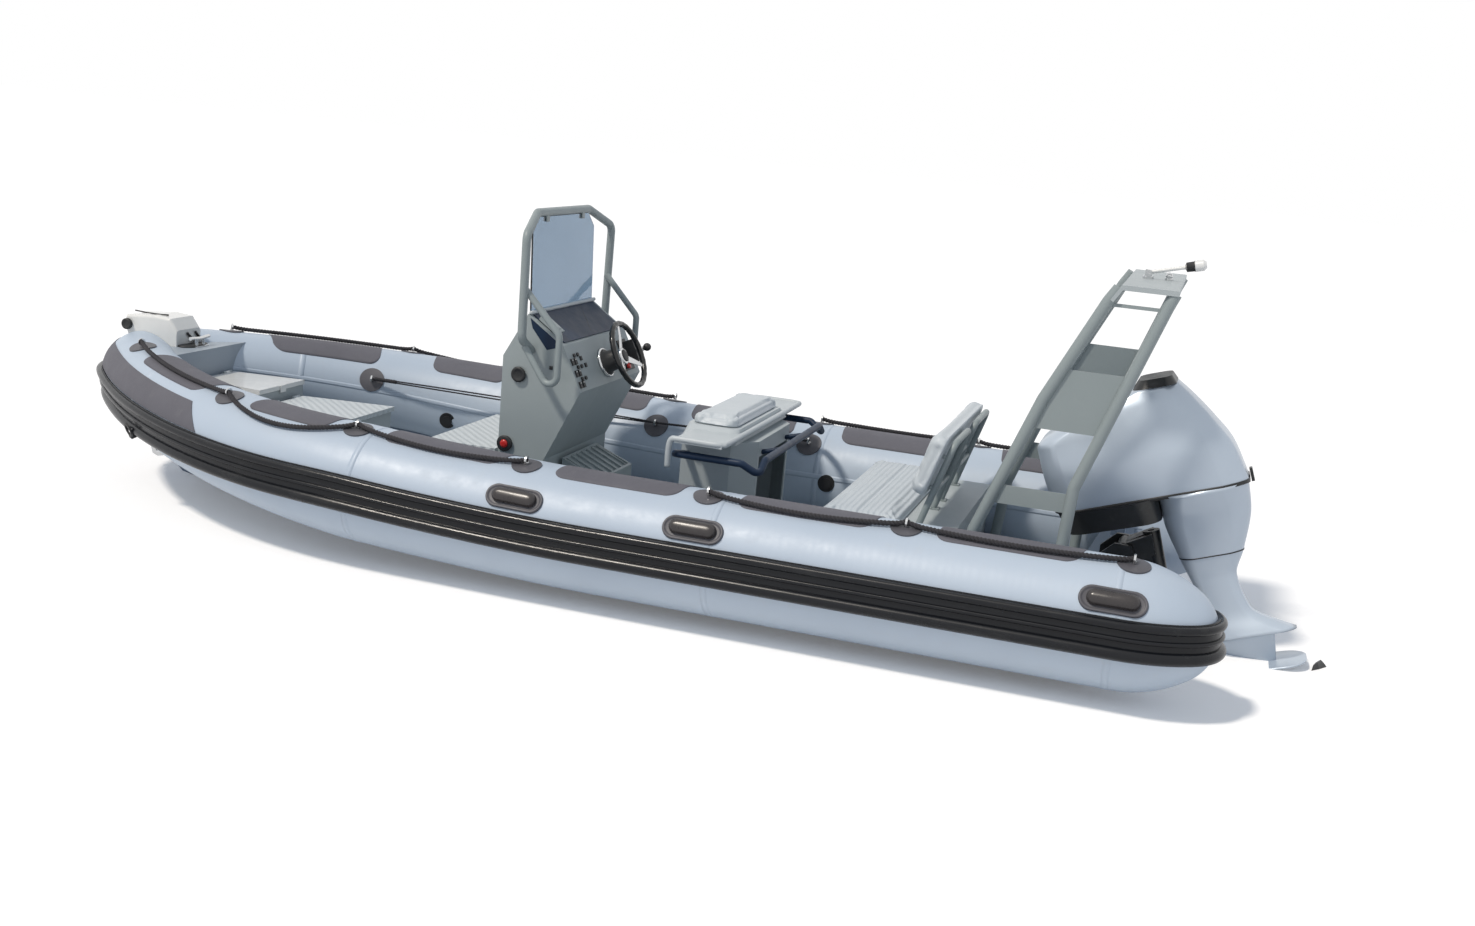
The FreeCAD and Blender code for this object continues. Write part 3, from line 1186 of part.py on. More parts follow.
# Leg: apron behind the pan, tapering down to the splash plate, then the strut and gearcase
leg_sections = [
    (S.seam_level - S.seat_gap, S.cowl_back + 4, S.steer_x - 60.3, S.cowl_half - 18, 110),
    (S.pan_level, S.cowl_back + 10, S.steer_x - 60.3, 150, 90),
    (S.pan_level - 190, S.cowl_back + 70, S.steer_x - 95, 88, 60),
    (205, S.cowl_back + 115, S.steer_x - 125, 62, 40),
    (60, S.cowl_back + 85, S.steer_x - 165, 56, 40),
    (S.splash_level + 22, S.plate_back + 60, S.steer_x - 170, 84, 60),
    (S.splash_level, S.plate_back + 18, S.steer_x - 165, 92, 60),
]
leg = Part.makeLoft([rounded(b, f, w, c, z) for z, b, f, w, c in leg_sections], True, True)
strut = Part.makeLoft([rounded(-560, S.steer_x - 175, 34, 30, S.splash_level + 1),
                       rounded(-520, S.steer_x - 150, 26, 24, S.prop_level)], True, True)
plate = Part.makeLoft([rounded(S.plate_back, S.steer_x - 150, S.plate_half, 90, S.plate_level - 5),
                       rounded(S.plate_back, S.steer_x - 150, S.plate_half, 90, S.plate_level + 5)], True,
                       True)
torpedo_length = S.torpedo_front - S.torpedo_back
nose_length = 110
torpedo = Part.makeCylinder(S.torpedo_radius, torpedo_length - nose_length,
                            Vector(S.torpedo_back, 0, S.prop_level),
                            Vector(1, 0, 0))
nose = Part.makeCone(S.torpedo_radius, 12, nose_length,
                     Vector(S.torpedo_front - nose_length, 0, S.prop_level),
                     Vector(1, 0, 0))
skeg = side_prism([(S.torpedo_back + 60, S.prop_level), (S.torpedo_front - 90, S.prop_level),
                   (S.torpedo_back + 110, S.skeg_level), (S.torpedo_back + 50, S.skeg_level)], -8, 8)
yokes = [Part.makeBox(150, 110, S.pan_level - 452.3, Vector(S.steer_x - 110, -55, 452)),
         Part.makeBox(230, 70, 34, Vector(S.steer_x - 195, -35, 66)),
         Part.makeCylinder(14, 400, Vector(S.steer_x, 0, 66))]
shaft = Part.makeCylinder(14, S.prop_gap + 2, Vector(S.torpedo_back - S.prop_gap, 0, S.prop_level),
                          Vector(1, 0, 0))
trimmed_up("EngineLeg", join([leg, strut, plate, torpedo, nose, skeg] + yokes), "engine_leg")

# Propeller: hub and three twisted blades
hub_front = S.torpedo_back - 1
hub = Part.makeCylinder(S.hub_radius, S.hub_length, Vector(hub_front - S.hub_length, 0, S.prop_level),
                        Vector(1, 0, 0))
BLADE = [
    # share of radius, chord, pitch angle
    (0.22, 62, 62),
    (0.62, 128, 38),
    (0.97, 70, 27),
]


def blade():
    wires = []
    for share, chord, pitch in BLADE:
        r = share * S.prop_radius
        turn = math.radians(pitch)
        along = Vector(math.sin(turn), math.cos(turn), 0) * (chord / 2)
        across = Vector(math.cos(turn), -math.sin(turn), 0) * (S.blade_thick / 2)
        centre = Vector(0, 0, r)
        corners = [centre - along, centre + across, centre + along, centre - across]
        wires.append(Part.makePolygon(corners + corners[:1]))
    return Part.makeLoft(wires, True, False)


middle = Vector(hub_front - S.hub_length / 2, 0, S.prop_level)
blades = [blade().translated(middle).rotated(middle, Vector(1, 0, 0), 120 * count) for count in range(3)]
trimmed_up("Propeller", join([hub] + blades), "propeller")


# Check every object and write the pieces

doc.recompute()
faults = []
for obj in doc.Objects:
    if "Invalid" in obj.State or "Error" in obj.State:
        faults.append("%s is %s" % (obj.Name, obj.State))
for obj in NODES:
    shape = obj.Shape
    if shape.isNull() or not shape.isValid() or not shape.Solids:
        faults.append("%s has no valid solid" % obj.Label)
if faults:
    raise RuntimeError("; ".join(faults))

os.makedirs("parts", exist_ok=True)
for obj in NODES:
    obj.Shape.exportStep("parts/%s.step" % obj.Label)


def told(place, point):
    moved = place.multVec(point)
    return "(%.2f, %.2f, %.2f)" % (moved.x, moved.y, moved.z)


print("nodes", len(NODES), "tube nose", NOSE_X)
print("hinges", step_hinge_x, locker_hinge_x, seat_hinge_x, pod_hinge_x, pod_hinge_z)
print("wheel centre", told(Placement(), WHEEL), "light pivot", told(Placement(), LIGHT_PIVOT))
print("steer axis point", told(TRIM, Vector(S.steer_x, 0, 300)), "prop centre", told(TRIM, middle))
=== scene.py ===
"""Looks of the inflatable boat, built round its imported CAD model. Lengths are metres, angles degrees.

Axes: X to the bow, Y to port, Z up from the waterline, with the origin at the foot of the transom.
"""
import math

import bpy
import numpy as np
from mathutils import Matrix, Vector


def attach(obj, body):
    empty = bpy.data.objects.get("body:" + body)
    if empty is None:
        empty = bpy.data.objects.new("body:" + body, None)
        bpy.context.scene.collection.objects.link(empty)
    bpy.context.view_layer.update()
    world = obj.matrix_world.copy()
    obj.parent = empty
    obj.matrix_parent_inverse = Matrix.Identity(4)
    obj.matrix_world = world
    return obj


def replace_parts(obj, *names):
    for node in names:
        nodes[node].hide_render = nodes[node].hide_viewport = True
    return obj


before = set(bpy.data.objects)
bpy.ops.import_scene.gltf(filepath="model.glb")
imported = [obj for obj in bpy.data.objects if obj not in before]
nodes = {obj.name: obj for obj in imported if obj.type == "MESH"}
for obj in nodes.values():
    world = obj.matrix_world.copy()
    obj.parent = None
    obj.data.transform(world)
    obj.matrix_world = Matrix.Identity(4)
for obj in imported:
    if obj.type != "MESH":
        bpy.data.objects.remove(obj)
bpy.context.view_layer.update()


# Camera: the photograph's own viewpoint, with its tilt

EYE = Vector((-0.21404, 6.65500, 2.02321))
AZIMUTH, ELEVATION, ROLL = (math.radians(angle) for angle in (196.13447, 12.52014, 5.27065))
LENS = 1571.33 / 1475 * 36

forward = Vector((-math.sin(AZIMUTH) * math.cos(ELEVATION), math.cos(AZIMUTH) * math.cos(ELEVATION),
                  -math.sin(ELEVATION)))
level_right = forward.cross(Vector((0, 0, 1))).normalized()
level_up = level_right.cross(forward)
right = math.cos(ROLL) * level_right + math.sin(ROLL) * level_up
up = -math.sin(ROLL) * level_right + math.cos(ROLL) * level_up

camera_data = bpy.data.cameras.new("camera")
camera_data.lens = LENS
camera_data.sensor_width = 36
camera_data.sensor_fit = "HORIZONTAL"
camera_data.clip_end = 200
camera = bpy.data.objects.new("camera", camera_data)
bpy.context.scene.collection.objects.link(camera)
turn = Matrix((right, up, -forward)).transposed().to_4x4()
camera.matrix_world = Matrix.Translation(EYE) @ turn
bpy.context.scene.camera = camera


# Materials: colours as sRGB hex values, pattern scales from real sizes in millimetres

def linear(hex_colour):
    """An sRGB hex value as the linear colour that a shader takes."""
    channels = [int(hex_colour[i:i + 2], 16) / 255 for i in (1, 3, 5)]
    return tuple(c / 12.92 if c <= 0.04045 else ((c + 0.055) / 1.055) ** 2.4 for c in channels) + (1.0,)


def add(tree, kind, inputs=None, **settings):
    """Adds a node with its settings; inputs maps a socket to a value or to the output that feeds it."""
    node = tree.nodes.new(kind)
    for name, value in settings.items():
        setattr(node, name, value)
    for socket, value in (inputs or {}).items():
        if isinstance(value, bpy.types.NodeSocket):
            tree.links.new(value, node.inputs[socket])
        else:
            node.inputs[socket].default_value = value
    return node


def finish_of(name, dark, light, rough, mottle_mm=250, grain_mm=2.0, grain=0.1, scuffs=0.0, stretch=(1, 1, 1),
              **sockets):
    """A surface whose colour wanders between two shades, with a fine grain and a roughness that varies.

    mottle_mm is the size of the blotches, grain_mm that of the grain, grain its depth, scuffs how much
    dull wear shows."""
    material = bpy.data.materials.new(name)
    material.use_nodes = True
    tree = material.node_tree
    shader = tree.nodes["Principled BSDF"]
    place = add(tree, "ShaderNodeTexCoord").outputs["Object"]
    place = add(tree, "ShaderNodeMapping", {"Vector": place, "Scale": stretch}).outputs["Vector"]
    mottle = add(tree, "ShaderNodeTexNoise", {"Vector": place, "Scale": 1000 / mottle_mm, "Detail": 4.0})
    tint = add(tree, "ShaderNodeMix", {0: mottle.outputs["Fac"], 6: linear(dark), 7: linear(light)},
               data_type="RGBA")
    colour = tint.outputs[2]
    fine = add(tree, "ShaderNodeTexNoise", {"Vector": place, "Scale": 1000 / grain_mm, "Detail": 3.0})
    wear = add(tree, "ShaderNodeTexNoise", {"Vector": place, "Scale": 1000 / 60, "Detail": 6.0,
                                            "Roughness": 0.7})
    dull = add(tree, "ShaderNodeMapRange", {"Value": wear.outputs["Fac"], "From Min": 0.35, "From Max": 0.75,
                                            "To Min": rough - 0.04, "To Max": rough + 0.08 + scuffs * 0.3})
    if scuffs:
        patchy = add(tree, "ShaderNodeMapRange", {"Value": wear.outputs["Fac"], "From Min": 0.56,
                                                  "From Max": 0.72, "To Min": 0.0, "To Max": scuffs})
        colour = add(tree, "ShaderNodeMix", {0: patchy.outputs[0], 6: colour, 7: linear("#B9B8B4")},
                     data_type="RGBA").outputs[2]
    bump = add(tree, "ShaderNodeBump", {"Height": fine.outputs["Fac"], "Strength": grain,
                                        "Distance": grain_mm / 2000})
    tree.links.new(colour, shader.inputs["Base Color"])
    tree.links.new(dull.outputs[0], shader.inputs["Roughness"])
    tree.links.new(bump.outputs["Normal"], shader.inputs["Normal"])
    for socket, value in sockets.items():
        shader.inputs[socket.replace("_", " ")].default_value = value
    return material


def bump_of(material):
    """The bump node that a material's finish already has."""
    return next(n for n in material.node_tree.nodes if n.bl_idname == "ShaderNodeBump")


def press_in(material, pattern, depth_mm, strength=0.6):
    """Lays a coarser relief under a finish's own grain."""
    tree = material.node_tree
    relief = add(tree, "ShaderNodeBump", {"Height": pattern, "Strength": strength,
                                          "Distance": depth_mm / 1000})
    tree.links.new(relief.outputs["Normal"], bump_of(material).inputs["Normal"])


# Metres between the crests of a wave texture at scale 1
WAVE_PERIOD = 0.31416


def coated_tube_fabric():
    # Coated polyester of the tubes: satin, with a weave just felt through the coat and faint water marks
    material = finish_of("coated_tube_fabric", "#A9B7C7", "#BCC9D7", 0.42, mottle_mm=700, grain_mm=1.6,
                         grain=0.12, scuffs=0.10)
    tree = material.node_tree
    place = add(tree, "ShaderNodeTexCoord").outputs["Object"]
    # Faint uneven ripples 32 mm apart stand in for the real weave, too fine to show at this distance
    weave = add(tree, "ShaderNodeTexWave", {"Vector": place, "Scale": WAVE_PERIOD / 0.031582,
                                            "Distortion": 2.0, "Detail": 2.0})
    soft = add(tree, "ShaderNodeTexNoise", {"Vector": place, "Scale": 6.0, "Detail": 2.0})
    both = add(tree, "ShaderNodeMix", {0: 0.85, 2: weave.outputs["Fac"], 3: soft.outputs["Fac"]}).outputs[0]
    press_in(material, both, 4, 0.18)
    return material


def moulded_band_rubber():
    # Extruded rubber rub band: near black, half gloss along the ribs, chalky where it has rubbed
    material = finish_of("moulded_band_rubber", "#0D0F13", "#15181E", 0.24, mottle_mm=180, grain_mm=3,
                         grain=0.06, scuffs=0.03, stretch=(0.15, 1, 1))
    material.node_tree.nodes["Principled BSDF"].inputs["Specular IOR Level"].default_value = 0.32
    return material


def textured_patch_rubber():
    # Glued wear patches: dark grey rubber sheet with a pebbled, matt face
    return finish_of("textured_patch_rubber", "#54545C", "#62626A", 0.7, mottle_mm=160, grain_mm=4, grain=0.5,
                     scuffs=0.06)


def moulded_handle_rubber():
    # Moulded grab handles and ring pads: smoother than the patches, with a dull sheen
    return finish_of("moulded_handle_rubber", "#48484E", "#57575D", 0.45, mottle_mm=70, grain_mm=3,
                     grain=0.15, scuffs=0.08)


def powder_coat(name, dark, light, rough=0.48):
    # Baked powder coat on welded aluminium: fine orange peel, even colour
    return finish_of(name, dark, light, rough, mottle_mm=420, grain_mm=3, grain=0.22, scuffs=0.04)


def black_abs():
    # Injection-moulded black plastic with a light spark texture
    return finish_of("black_abs", "#17181A", "#222427", 0.5, mottle_mm=40, grain_mm=1.5, grain=0.3)


def polished_stainless():
    # Polished marine stainless steel: bright and slightly wavy
    return finish_of("polished_stainless", "#C3C5C7", "#DADBDC", 0.14, mottle_mm=30, grain_mm=12, grain=0.06,
                     Metallic=1.0)


def painted_hull():
    # Painted aluminium bottom: satin, streaked along its length by the water
    return finish_of("painted_hull", "#5B6B80", "#7A889A", 0.4, mottle_mm=300, grain_mm=5, grain=0.1,
                     scuffs=0.12, stretch=(0.25, 1, 1))


def gloss_gelcoat():
    # White gel coat of the anchor box and the step lid: glossy, very slightly uneven
    return finish_of("gloss_gelcoat", "#DCDDDA", "#E8E8E5", 0.18, mottle_mm=120, grain_mm=25, grain=0.05,
                     Coat_Weight=0.3, Coat_Roughness=0.08)


def satin_moulding(name, dark, light):
    # Rotomoulded plastic: satin with a soft grain
    return finish_of(name, dark, light, 0.42, mottle_mm=200, grain_mm=3, grain=0.2)


def navy_laminate_and_painted_shade():
    # Navy instrument panel: printed laminate under a satin, low-glare face. On the helm seat's rail the same
    # navy is painted shadow: the shade that the seat's pale rim tube casts on the seat box
    return finish_of("navy_laminate_and_painted_shade", "#16263B", "#1D3049", 0.42, mottle_mm=200, grain_mm=20, grain=0.03,
                     Specular_IOR_Level=0.22)


def smoked_acrylic():
    # Tinted cast acrylic of the windscreen: clear, blue-grey, glossy
    return finish_of("smoked_acrylic", "#6E879F", "#7B93A9", 0.05, mottle_mm=300, grain_mm=60, grain=0.02,
                     Transmission_Weight=1.0, IOR=1.49)


def marine_vinyl(name, dark, light):
    # Upholstery vinyl with a leather grain, drawn in cells of 4 mm so that it shows
    material = finish_of(name, dark, light, 0.46, mottle_mm=260, grain_mm=3, grain=0.35)
    tree = material.node_tree
    place = add(tree, "ShaderNodeTexCoord").outputs["Object"]
    hide = add(tree, "ShaderNodeTexVoronoi", {"Vector": place, "Scale": 1000 / 4}, feature="DISTANCE_TO_EDGE")
    press_in(material, hide.outputs["Distance"], 0.6, 0.35)
    return material


def ribbed_bench_vinyl():
    # The same vinyl over a ribbed pad: soft ribs across the bench, 24 mm apart
    material = finish_of("ribbed_bench_vinyl", "#B3BCC3", "#C3CBD0", 0.5, mottle_mm=260, grain_mm=3,
                         grain=0.3)
    tree = material.node_tree
    place = add(tree, "ShaderNodeTexCoord").outputs["Object"]
    ribs = add(tree, "ShaderNodeTexWave", {"Vector": place, "Scale": WAVE_PERIOD / 0.024, "Distortion": 0.3,
                                           "Detail": 0.0}, bands_direction="X")
    press_in(material, ribs.outputs["Fac"], 3, 0.9)
    return material


def silver_lacquer():
    # Metallic lacquer on the engine: a very fine grain under a clear coat
    return finish_of("silver_lacquer", "#AEBAC8", "#BECAD6", 0.38, mottle_mm=300, grain_mm=2, grain=0.05,
                     Metallic=0.35, Coat_Weight=0.35, Coat_Roughness=0.10)


def black_lacquer():
    # Satin black paint on the engine's brackets and insert
    return finish_of("black_lacquer", "#111315", "#1B1E21", 0.38, mottle_mm=90, grain_mm=3, grain=0.15,
                     scuffs=0.04)


def non_slip_deck():
    # Deck with a moulded non-slip grid, 14 mm between its ribs
    material = finish_of("non_slip_deck", "#98A1A8", "#A8B0B6", 0.6, mottle_mm=300, grain_mm=3, grain=0.3)
    tree = material.node_tree
    place = add(tree, "ShaderNodeTexCoord").outputs["Object"]
    grid = add(tree, "ShaderNodeTexVoronoi", {"Vector": place, "Scale": 1000 / 14, "Randomness": 0.0},
               distance="CHEBYCHEV")
    press_in(material, grid.outputs["Distance"], 1.2, 0.8)
    return material


def twisted_polyester():
    # Laid polyester rope: matt black with paler flecks where the filaments catch the light
    return finish_of("twisted_polyester", "#17171A", "#35343A", 0.8, mottle_mm=6, grain_mm=1.5, grain=0.6)


def red_polycarbonate():
    # Moulded red lens and stop switch
    return finish_of("red_polycarbonate", "#B31E1C", "#C92B26", 0.25, mottle_mm=20, grain_mm=4, grain=0.05)


def opal_acrylic():
    # Opal lamp globe, enamelled mast and switch marks
    return finish_of("opal_acrylic", "#DFE0DE", "#EBEBE9", 0.3, mottle_mm=30, grain_mm=4, grain=0.05)


def gripped_rubber():
    # Moulded grip of the handles: dark, smoother and glossier than its pad
    return finish_of("gripped_rubber", "#2B2829", "#3B3738", 0.28, mottle_mm=60, grain_mm=4, grain=0.08)


def gloss_polyurethane():
    # Moulded polyurethane wheel rim: black and glossy
    return finish_of("gloss_polyurethane", "#121315", "#191B1D", 0.2, mottle_mm=30, grain_mm=4, grain=0.05)


def ribbed_lid_foam():
    # Closed-cell foam on the lids with pressed, slanting ribs
    material = finish_of("ribbed_lid_foam", "#BAC2C6", "#C8CED1", 0.6, mottle_mm=200, grain_mm=3, grain=0.35)
    tree = material.node_tree
    place = add(tree, "ShaderNodeTexCoord").outputs["Object"]
    # Slanting waves lie further apart, so on a level lid the ribs are about 34 mm apart
    ribs = add(tree, "ShaderNodeTexWave", {"Vector": place, "Scale": WAVE_PERIOD / 0.024, "Distortion": 1.2,
                                           "Detail": 0.0, "Detail Scale": 0.6}, bands_direction="DIAGONAL")
    press_in(material, ribs.outputs["Fac"], 3, 1.0)
    return material


TUBE = coated_tube_fabric()
BAND = moulded_band_rubber()
PATCH = textured_patch_rubber()
HANDLE = moulded_handle_rubber()
CONSOLE_PAINT = powder_coat("console_powder_coat", "#939D9F", "#A0A9AA")
BOX_PAINT = powder_coat("locker_powder_coat", "#A1A9AC", "#ACB4B6")
ARCH_PAINT = powder_coat("arch_powder_coat", "#848E90", "#919B9C", 0.42)
PLASTIC = black_abs()
STEEL = polished_stainless()
HULL = painted_hull()
GELCOAT = gloss_gelcoat()
BOW_GREY = satin_moulding("bow_moulding_plastic", "#909AA5", "#9EA8B1")
SEAT_SHELL = satin_moulding("seat_shell_plastic", "#B0B8BC", "#BFC6C9")
NAVY_AND_PAINTED_SHADE = navy_laminate_and_painted_shade()
ACRYLIC = smoked_acrylic()
VINYL = marine_vinyl("pale_marine_vinyl", "#B9C1C7", "#C8CFD3")
BENCH_VINYL = ribbed_bench_vinyl()
SILVER = silver_lacquer()
BLACK_LACQUER = black_lacquer()
DECK = non_slip_deck()
ROPE = twisted_polyester()
RED = red_polycarbonate()
OPAL = opal_acrylic()
GRIP = gripped_rubber()
GLOSS_BLACK = gloss_polyurethane()
LID = ribbed_lid_foam()

FINISHES = {
    "anchor_box": GELCOAT, "arch_frame": ARCH_PAINT, "arch_panels": ARCH_PAINT, "arch_top": BOX_PAINT,
    "backrest_cushion": VINYL, "backrest_frame": ARCH_PAINT, "bench_box": BOX_PAINT,
    "bench_cushion": BENCH_VINYL, "bow_cleat": STEEL, "bow_deck": BOW_GREY, "bow_eye": STEEL,
    "bow_patches": PATCH, "bow_rings": PLASTIC, "bow_roller": PLASTIC, "clamp_bracket": BLACK_LACQUER,
    "console_body": CONSOLE_PAINT, "console_dash": NAVY_AND_PAINTED_SHADE, "console_fittings": PLASTIC,
    "console_hoop": ARCH_PAINT, "console_seat_box": BOX_PAINT, "console_seat_lid": LID, "cowl": SILVER,
    "cowl_cap": BLACK_LACQUER, "deck": DECK, "engine_leg": SILVER, "footrest": CONSOLE_PAINT,
    "fore_locker": BOX_PAINT, "fore_locker_lid": LID, "grab_handles": HANDLE, "helm_boss": PLASTIC,
    "hull": HULL, "lifeline_rings": STEEL, "light_base": STEEL, "light_globe": OPAL, "light_pole": OPAL,
    "lower_pan": BLACK_LACQUER, "propeller": BLACK_LACQUER, "ring_pads": HANDLE, "rub_band_port": BAND,
    "rub_band_starboard": BAND, "seat_box": BOX_PAINT, "seat_cushion": VINYL, "seat_lid": SEAT_SHELL,
    # seat_rail takes the navy as painted shadow: a dark band where the seat's pale rim tube shades the seat
    # box
    "seat_rail": NAVY_AND_PAINTED_SHADE, "steering_wheel": PLASTIC, "step_box": BOX_PAINT, "step_lid": GELCOAT,
    "stern_eyes": STEEL, "swivel_bracket": BLACK_LACQUER, "throttle": PLASTIC, "transom": HULL,
    "tube_port": TUBE, "tube_starboard": TUBE, "tube_valves": PLASTIC, "wear_patches": PATCH,
    "windscreen": ACRYLIC,
}
for node_name, node in nodes.items():
    for material_slot in node.material_slots:
        material_slot.material = FINISHES[node_name]


# Mesh helpers

def piece(name, points, faces, material, body="boat", slot=None, smooth=True):
    """A mesh that rides on a body and takes the given finish; its slot is not used."""
    mesh = bpy.data.meshes.new(name)
    mesh.from_pydata([tuple(p) for p in points], [], faces)
    mesh.materials.append(material)
    mesh.update()
    if smooth:
        mesh.polygons.foreach_set("use_smooth", [True] * len(mesh.polygons))
    obj = bpy.data.objects.new(name, mesh)
    bpy.context.scene.collection.objects.link(obj)
    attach(obj, body)
    return obj


def lattice(rows, round_rows=False, cap_first=False, cap_last=False):
    """Points and faces of a surface through rows of points; round_rows joins each row's ends."""
    width = len(rows[0])
    points = [p for row in rows for p in row]
    faces = []
    last = width if round_rows else width - 1
    for r in range(len(rows) - 1):
        for c in range(last):
            a, b = r * width + c, r * width + (c + 1) % width
            faces.append((a, b, b + width, a + width))
    if cap_first:
        faces.append(tuple(range(width - 1, -1, -1)))
    if cap_last:
        base = (len(rows) - 1) * width
        faces.append(tuple(range(base, base + width)))
    return points, faces


def several(parts):
    """Joins lists of points and faces into one."""
    points, faces = [], []
    for some_points, some_faces in parts:
        start = len(points)
        points += list(some_points)
        faces += [tuple(i + start for i in face) for face in some_faces]
    return points, faces


def mirrored(part):
    """The same piece on the starboard side."""
    points, faces = part
    return [(p[0], -p[1], p[2]) for p in points], [tuple(reversed(face)) for face in faces]


def both_sides(part):
    """A piece together with its twin on the starboard side."""
    return several([part, mirrored(part)])


def full_turn(count):
    """Evenly spaced angles round a circle."""
    return [2 * math.pi * k / count for k in range(count)]


def closed(rows):
    """A closed round form through rows of points."""
    return lattice(rows, round_rows=True, cap_first=True, cap_last=True)


def ring_round(back, front, half, corner, z, count=8):
    """A level rectangle with rounded corners, at a height."""
    corner = min(corner, half * 0.98, (front - back) / 2 * 0.98)
    ring = []
    for cx, cy, start in ((front - corner, half - corner, 0), (back + corner, half - corner, 90),
                          (back + corner, corner - half, 180), (front - corner, corner - half, 270)):
        for k in range(count + 1):
            a = math.radians(start + 90 * k / count)
            ring.append(Vector((cx + corner * math.cos(a), cy + corner * math.sin(a), z)))
    return ring


def thin_plate(corners, thick):
    """A thin plate on four corners, thickened along its own normal."""
    a, b, c, d = (Vector(p) for p in corners)
    normal = (b - a).cross(d - a).normalized() * thick
    low = [a, b, c, d]
    faces = [(3, 2, 1, 0), (4, 5, 6, 7), (0, 1, 5, 4), (1, 2, 6, 5), (2, 3, 7, 6), (3, 0, 4, 7)]
    return low + [p + normal for p in low], faces


def turned(base, axis, profile, sides=32):
    """A round form about an axis from (distance along, radius) pairs."""
    axis = Vector(axis).normalized()
    first = axis.orthogonal().normalized()
    second = axis.cross(first)
    rows = []
    for along, radius in profile:
        middle = Vector(base) + axis * along
        rows.append([middle + (first * math.cos(a) + second * math.sin(a)) * radius
                     for a in full_turn(sides)])
    return closed(rows)


def smooth_line(points, step=0.008):
    """Evenly spaced points on a smooth line through the given ones."""
    pts = [Vector(p) for p in points]
    pts = [pts[0] * 2 - pts[1]] + pts + [pts[-1] * 2 - pts[-2]]
    line = []
    for i in range(1, len(pts) - 2):
        a, b, c, d = pts[i - 1:i + 3]
        count = max(2, int((c - b).length / step))
        for k in range(count):
            t = k / count
            line.append(0.5 * (2 * b + (c - a) * t + (2 * a - 5 * b + 4 * c - d) * t * t
                               + (3 * b - a - 3 * c + d) * t ** 3))
    line.append(pts[-2])
    return line


def frames_along(line, normal):
    """Each point of a line with two directions across it, turning as little as they can."""
    found = []
    for i, point in enumerate(line):
        ahead = (line[min(i + 1, len(line) - 1)] - line[max(i - 1, 0)]).normalized()
        normal = (normal - ahead * normal.dot(ahead)).normalized()
        found.append((point, normal, ahead.cross(normal)))
    return found


def bent_bar(points, radius, sides=16):
    """A bent round bar through points, with smooth bends."""
    start = Vector((0.2, 0.3, 0.9)).normalized()
    rows = []
    for point, across, over in frames_along(smooth_line(points, 0.01), start):
        rows.append([point + (across * math.cos(a) + over * math.sin(a)) * radius for a in full_turn(sides)])
    return closed(rows)


# The tube's path and its section, as in the part

TUBE_RADIUS, TUBE_SPREAD, TUBE_LEVEL = 0.250, 0.850, 0.300
CONE_START, TIP_RADIUS, CONE_TURN = -0.070, 0.200, math.radians(35)
CONE_RADIUS = (TUBE_RADIUS - TIP_RADIUS * math.cos(CONE_TURN)) / (1 - math.cos(CONE_TURN))
TIP_CENTRE = CONE_START - (CONE_RADIUS - TIP_RADIUS) * math.sin(CONE_TURN)
BEND_START, BEND_RADIUS, NOSE_RADIUS, NOSE_TUBE = 3.139, 2.250, 0.258, 0.180
LONG_TURN = math.acos((BEND_RADIUS - TUBE_SPREAD) / (BEND_RADIUS - NOSE_RADIUS))
NOSE_X = BEND_START + (BEND_RADIUS - NOSE_RADIUS) * math.sin(LONG_TURN) + NOSE_RADIUS
SHEER_START, SHEER_RISE, SHEER_POWER = 2.000, 0.227, 1.72


def heading_at(x):
    """How far the tube has turned in, at a distance from the transom."""
    if x <= BEND_START:
        return 0.0
    heading = math.asin(min(1.0, (x - BEND_START) / BEND_RADIUS))
    if heading <= LONG_TURN:
        return heading
    return math.asin(max(0.0, min(1.0, 1 - (NOSE_X - x) / NOSE_RADIUS)))


def x_at(heading):
    """Distance from the transom where the tube has turned in by an angle."""
    if heading <= LONG_TURN:
        return BEND_START + BEND_RADIUS * math.sin(heading)
    return NOSE_X - NOSE_RADIUS * (1 - math.sin(heading))


def section(x):
    """Centre, outboard and upward directions and radius of the port tube's section."""
    heading = heading_at(x)
    if heading <= LONG_TURN:
        y = TUBE_SPREAD - BEND_RADIUS * (1 - math.cos(heading))
    else:
        y = NOSE_RADIUS * math.cos(heading)
    share = max(0.0, (x - SHEER_START) / (NOSE_X - SHEER_START))
    z = TUBE_LEVEL + SHEER_RISE * share ** SHEER_POWER
    slope = SHEER_RISE * SHEER_POWER / (NOSE_X - SHEER_START) * share ** (SHEER_POWER - 1)
    ahead = Vector((math.cos(heading), -math.sin(heading), slope * math.cos(heading))).normalized()
    outward = Vector((math.sin(heading), math.cos(heading), 0))
    bent = max(0.0, (x - BEND_START) / (NOSE_X - BEND_START))
    radius = TUBE_RADIUS - (TUBE_RADIUS - NOSE_TUBE) * bent
    if x < CONE_START:
        back = CONE_START - x
        knee = CONE_RADIUS * math.sin(CONE_TURN)
        if back < knee:
            radius = TUBE_RADIUS - CONE_RADIUS + math.sqrt(CONE_RADIUS ** 2 - back ** 2)
        else:
            radius = math.sqrt(max(0.0, TIP_RADIUS ** 2 - (TIP_CENTRE - x) ** 2))
    return Vector((x, y, z)), outward, ahead.cross(outward), radius


def on_tube(x, angle, out=0.0):
    """A point at an angle above the outboard side of the port tube, and a height over its skin."""
    centre, outward, upward, radius = section(x)
    a = math.radians(angle)
    return centre + (outward * math.cos(a) + upward * math.sin(a)) * (radius + out)


def crown_angle(x, angle):
    """Keeps a width measured from the tube's crown as the tube thins."""
    return 93 + (angle - 93) * TUBE_RADIUS / section(x)[3]


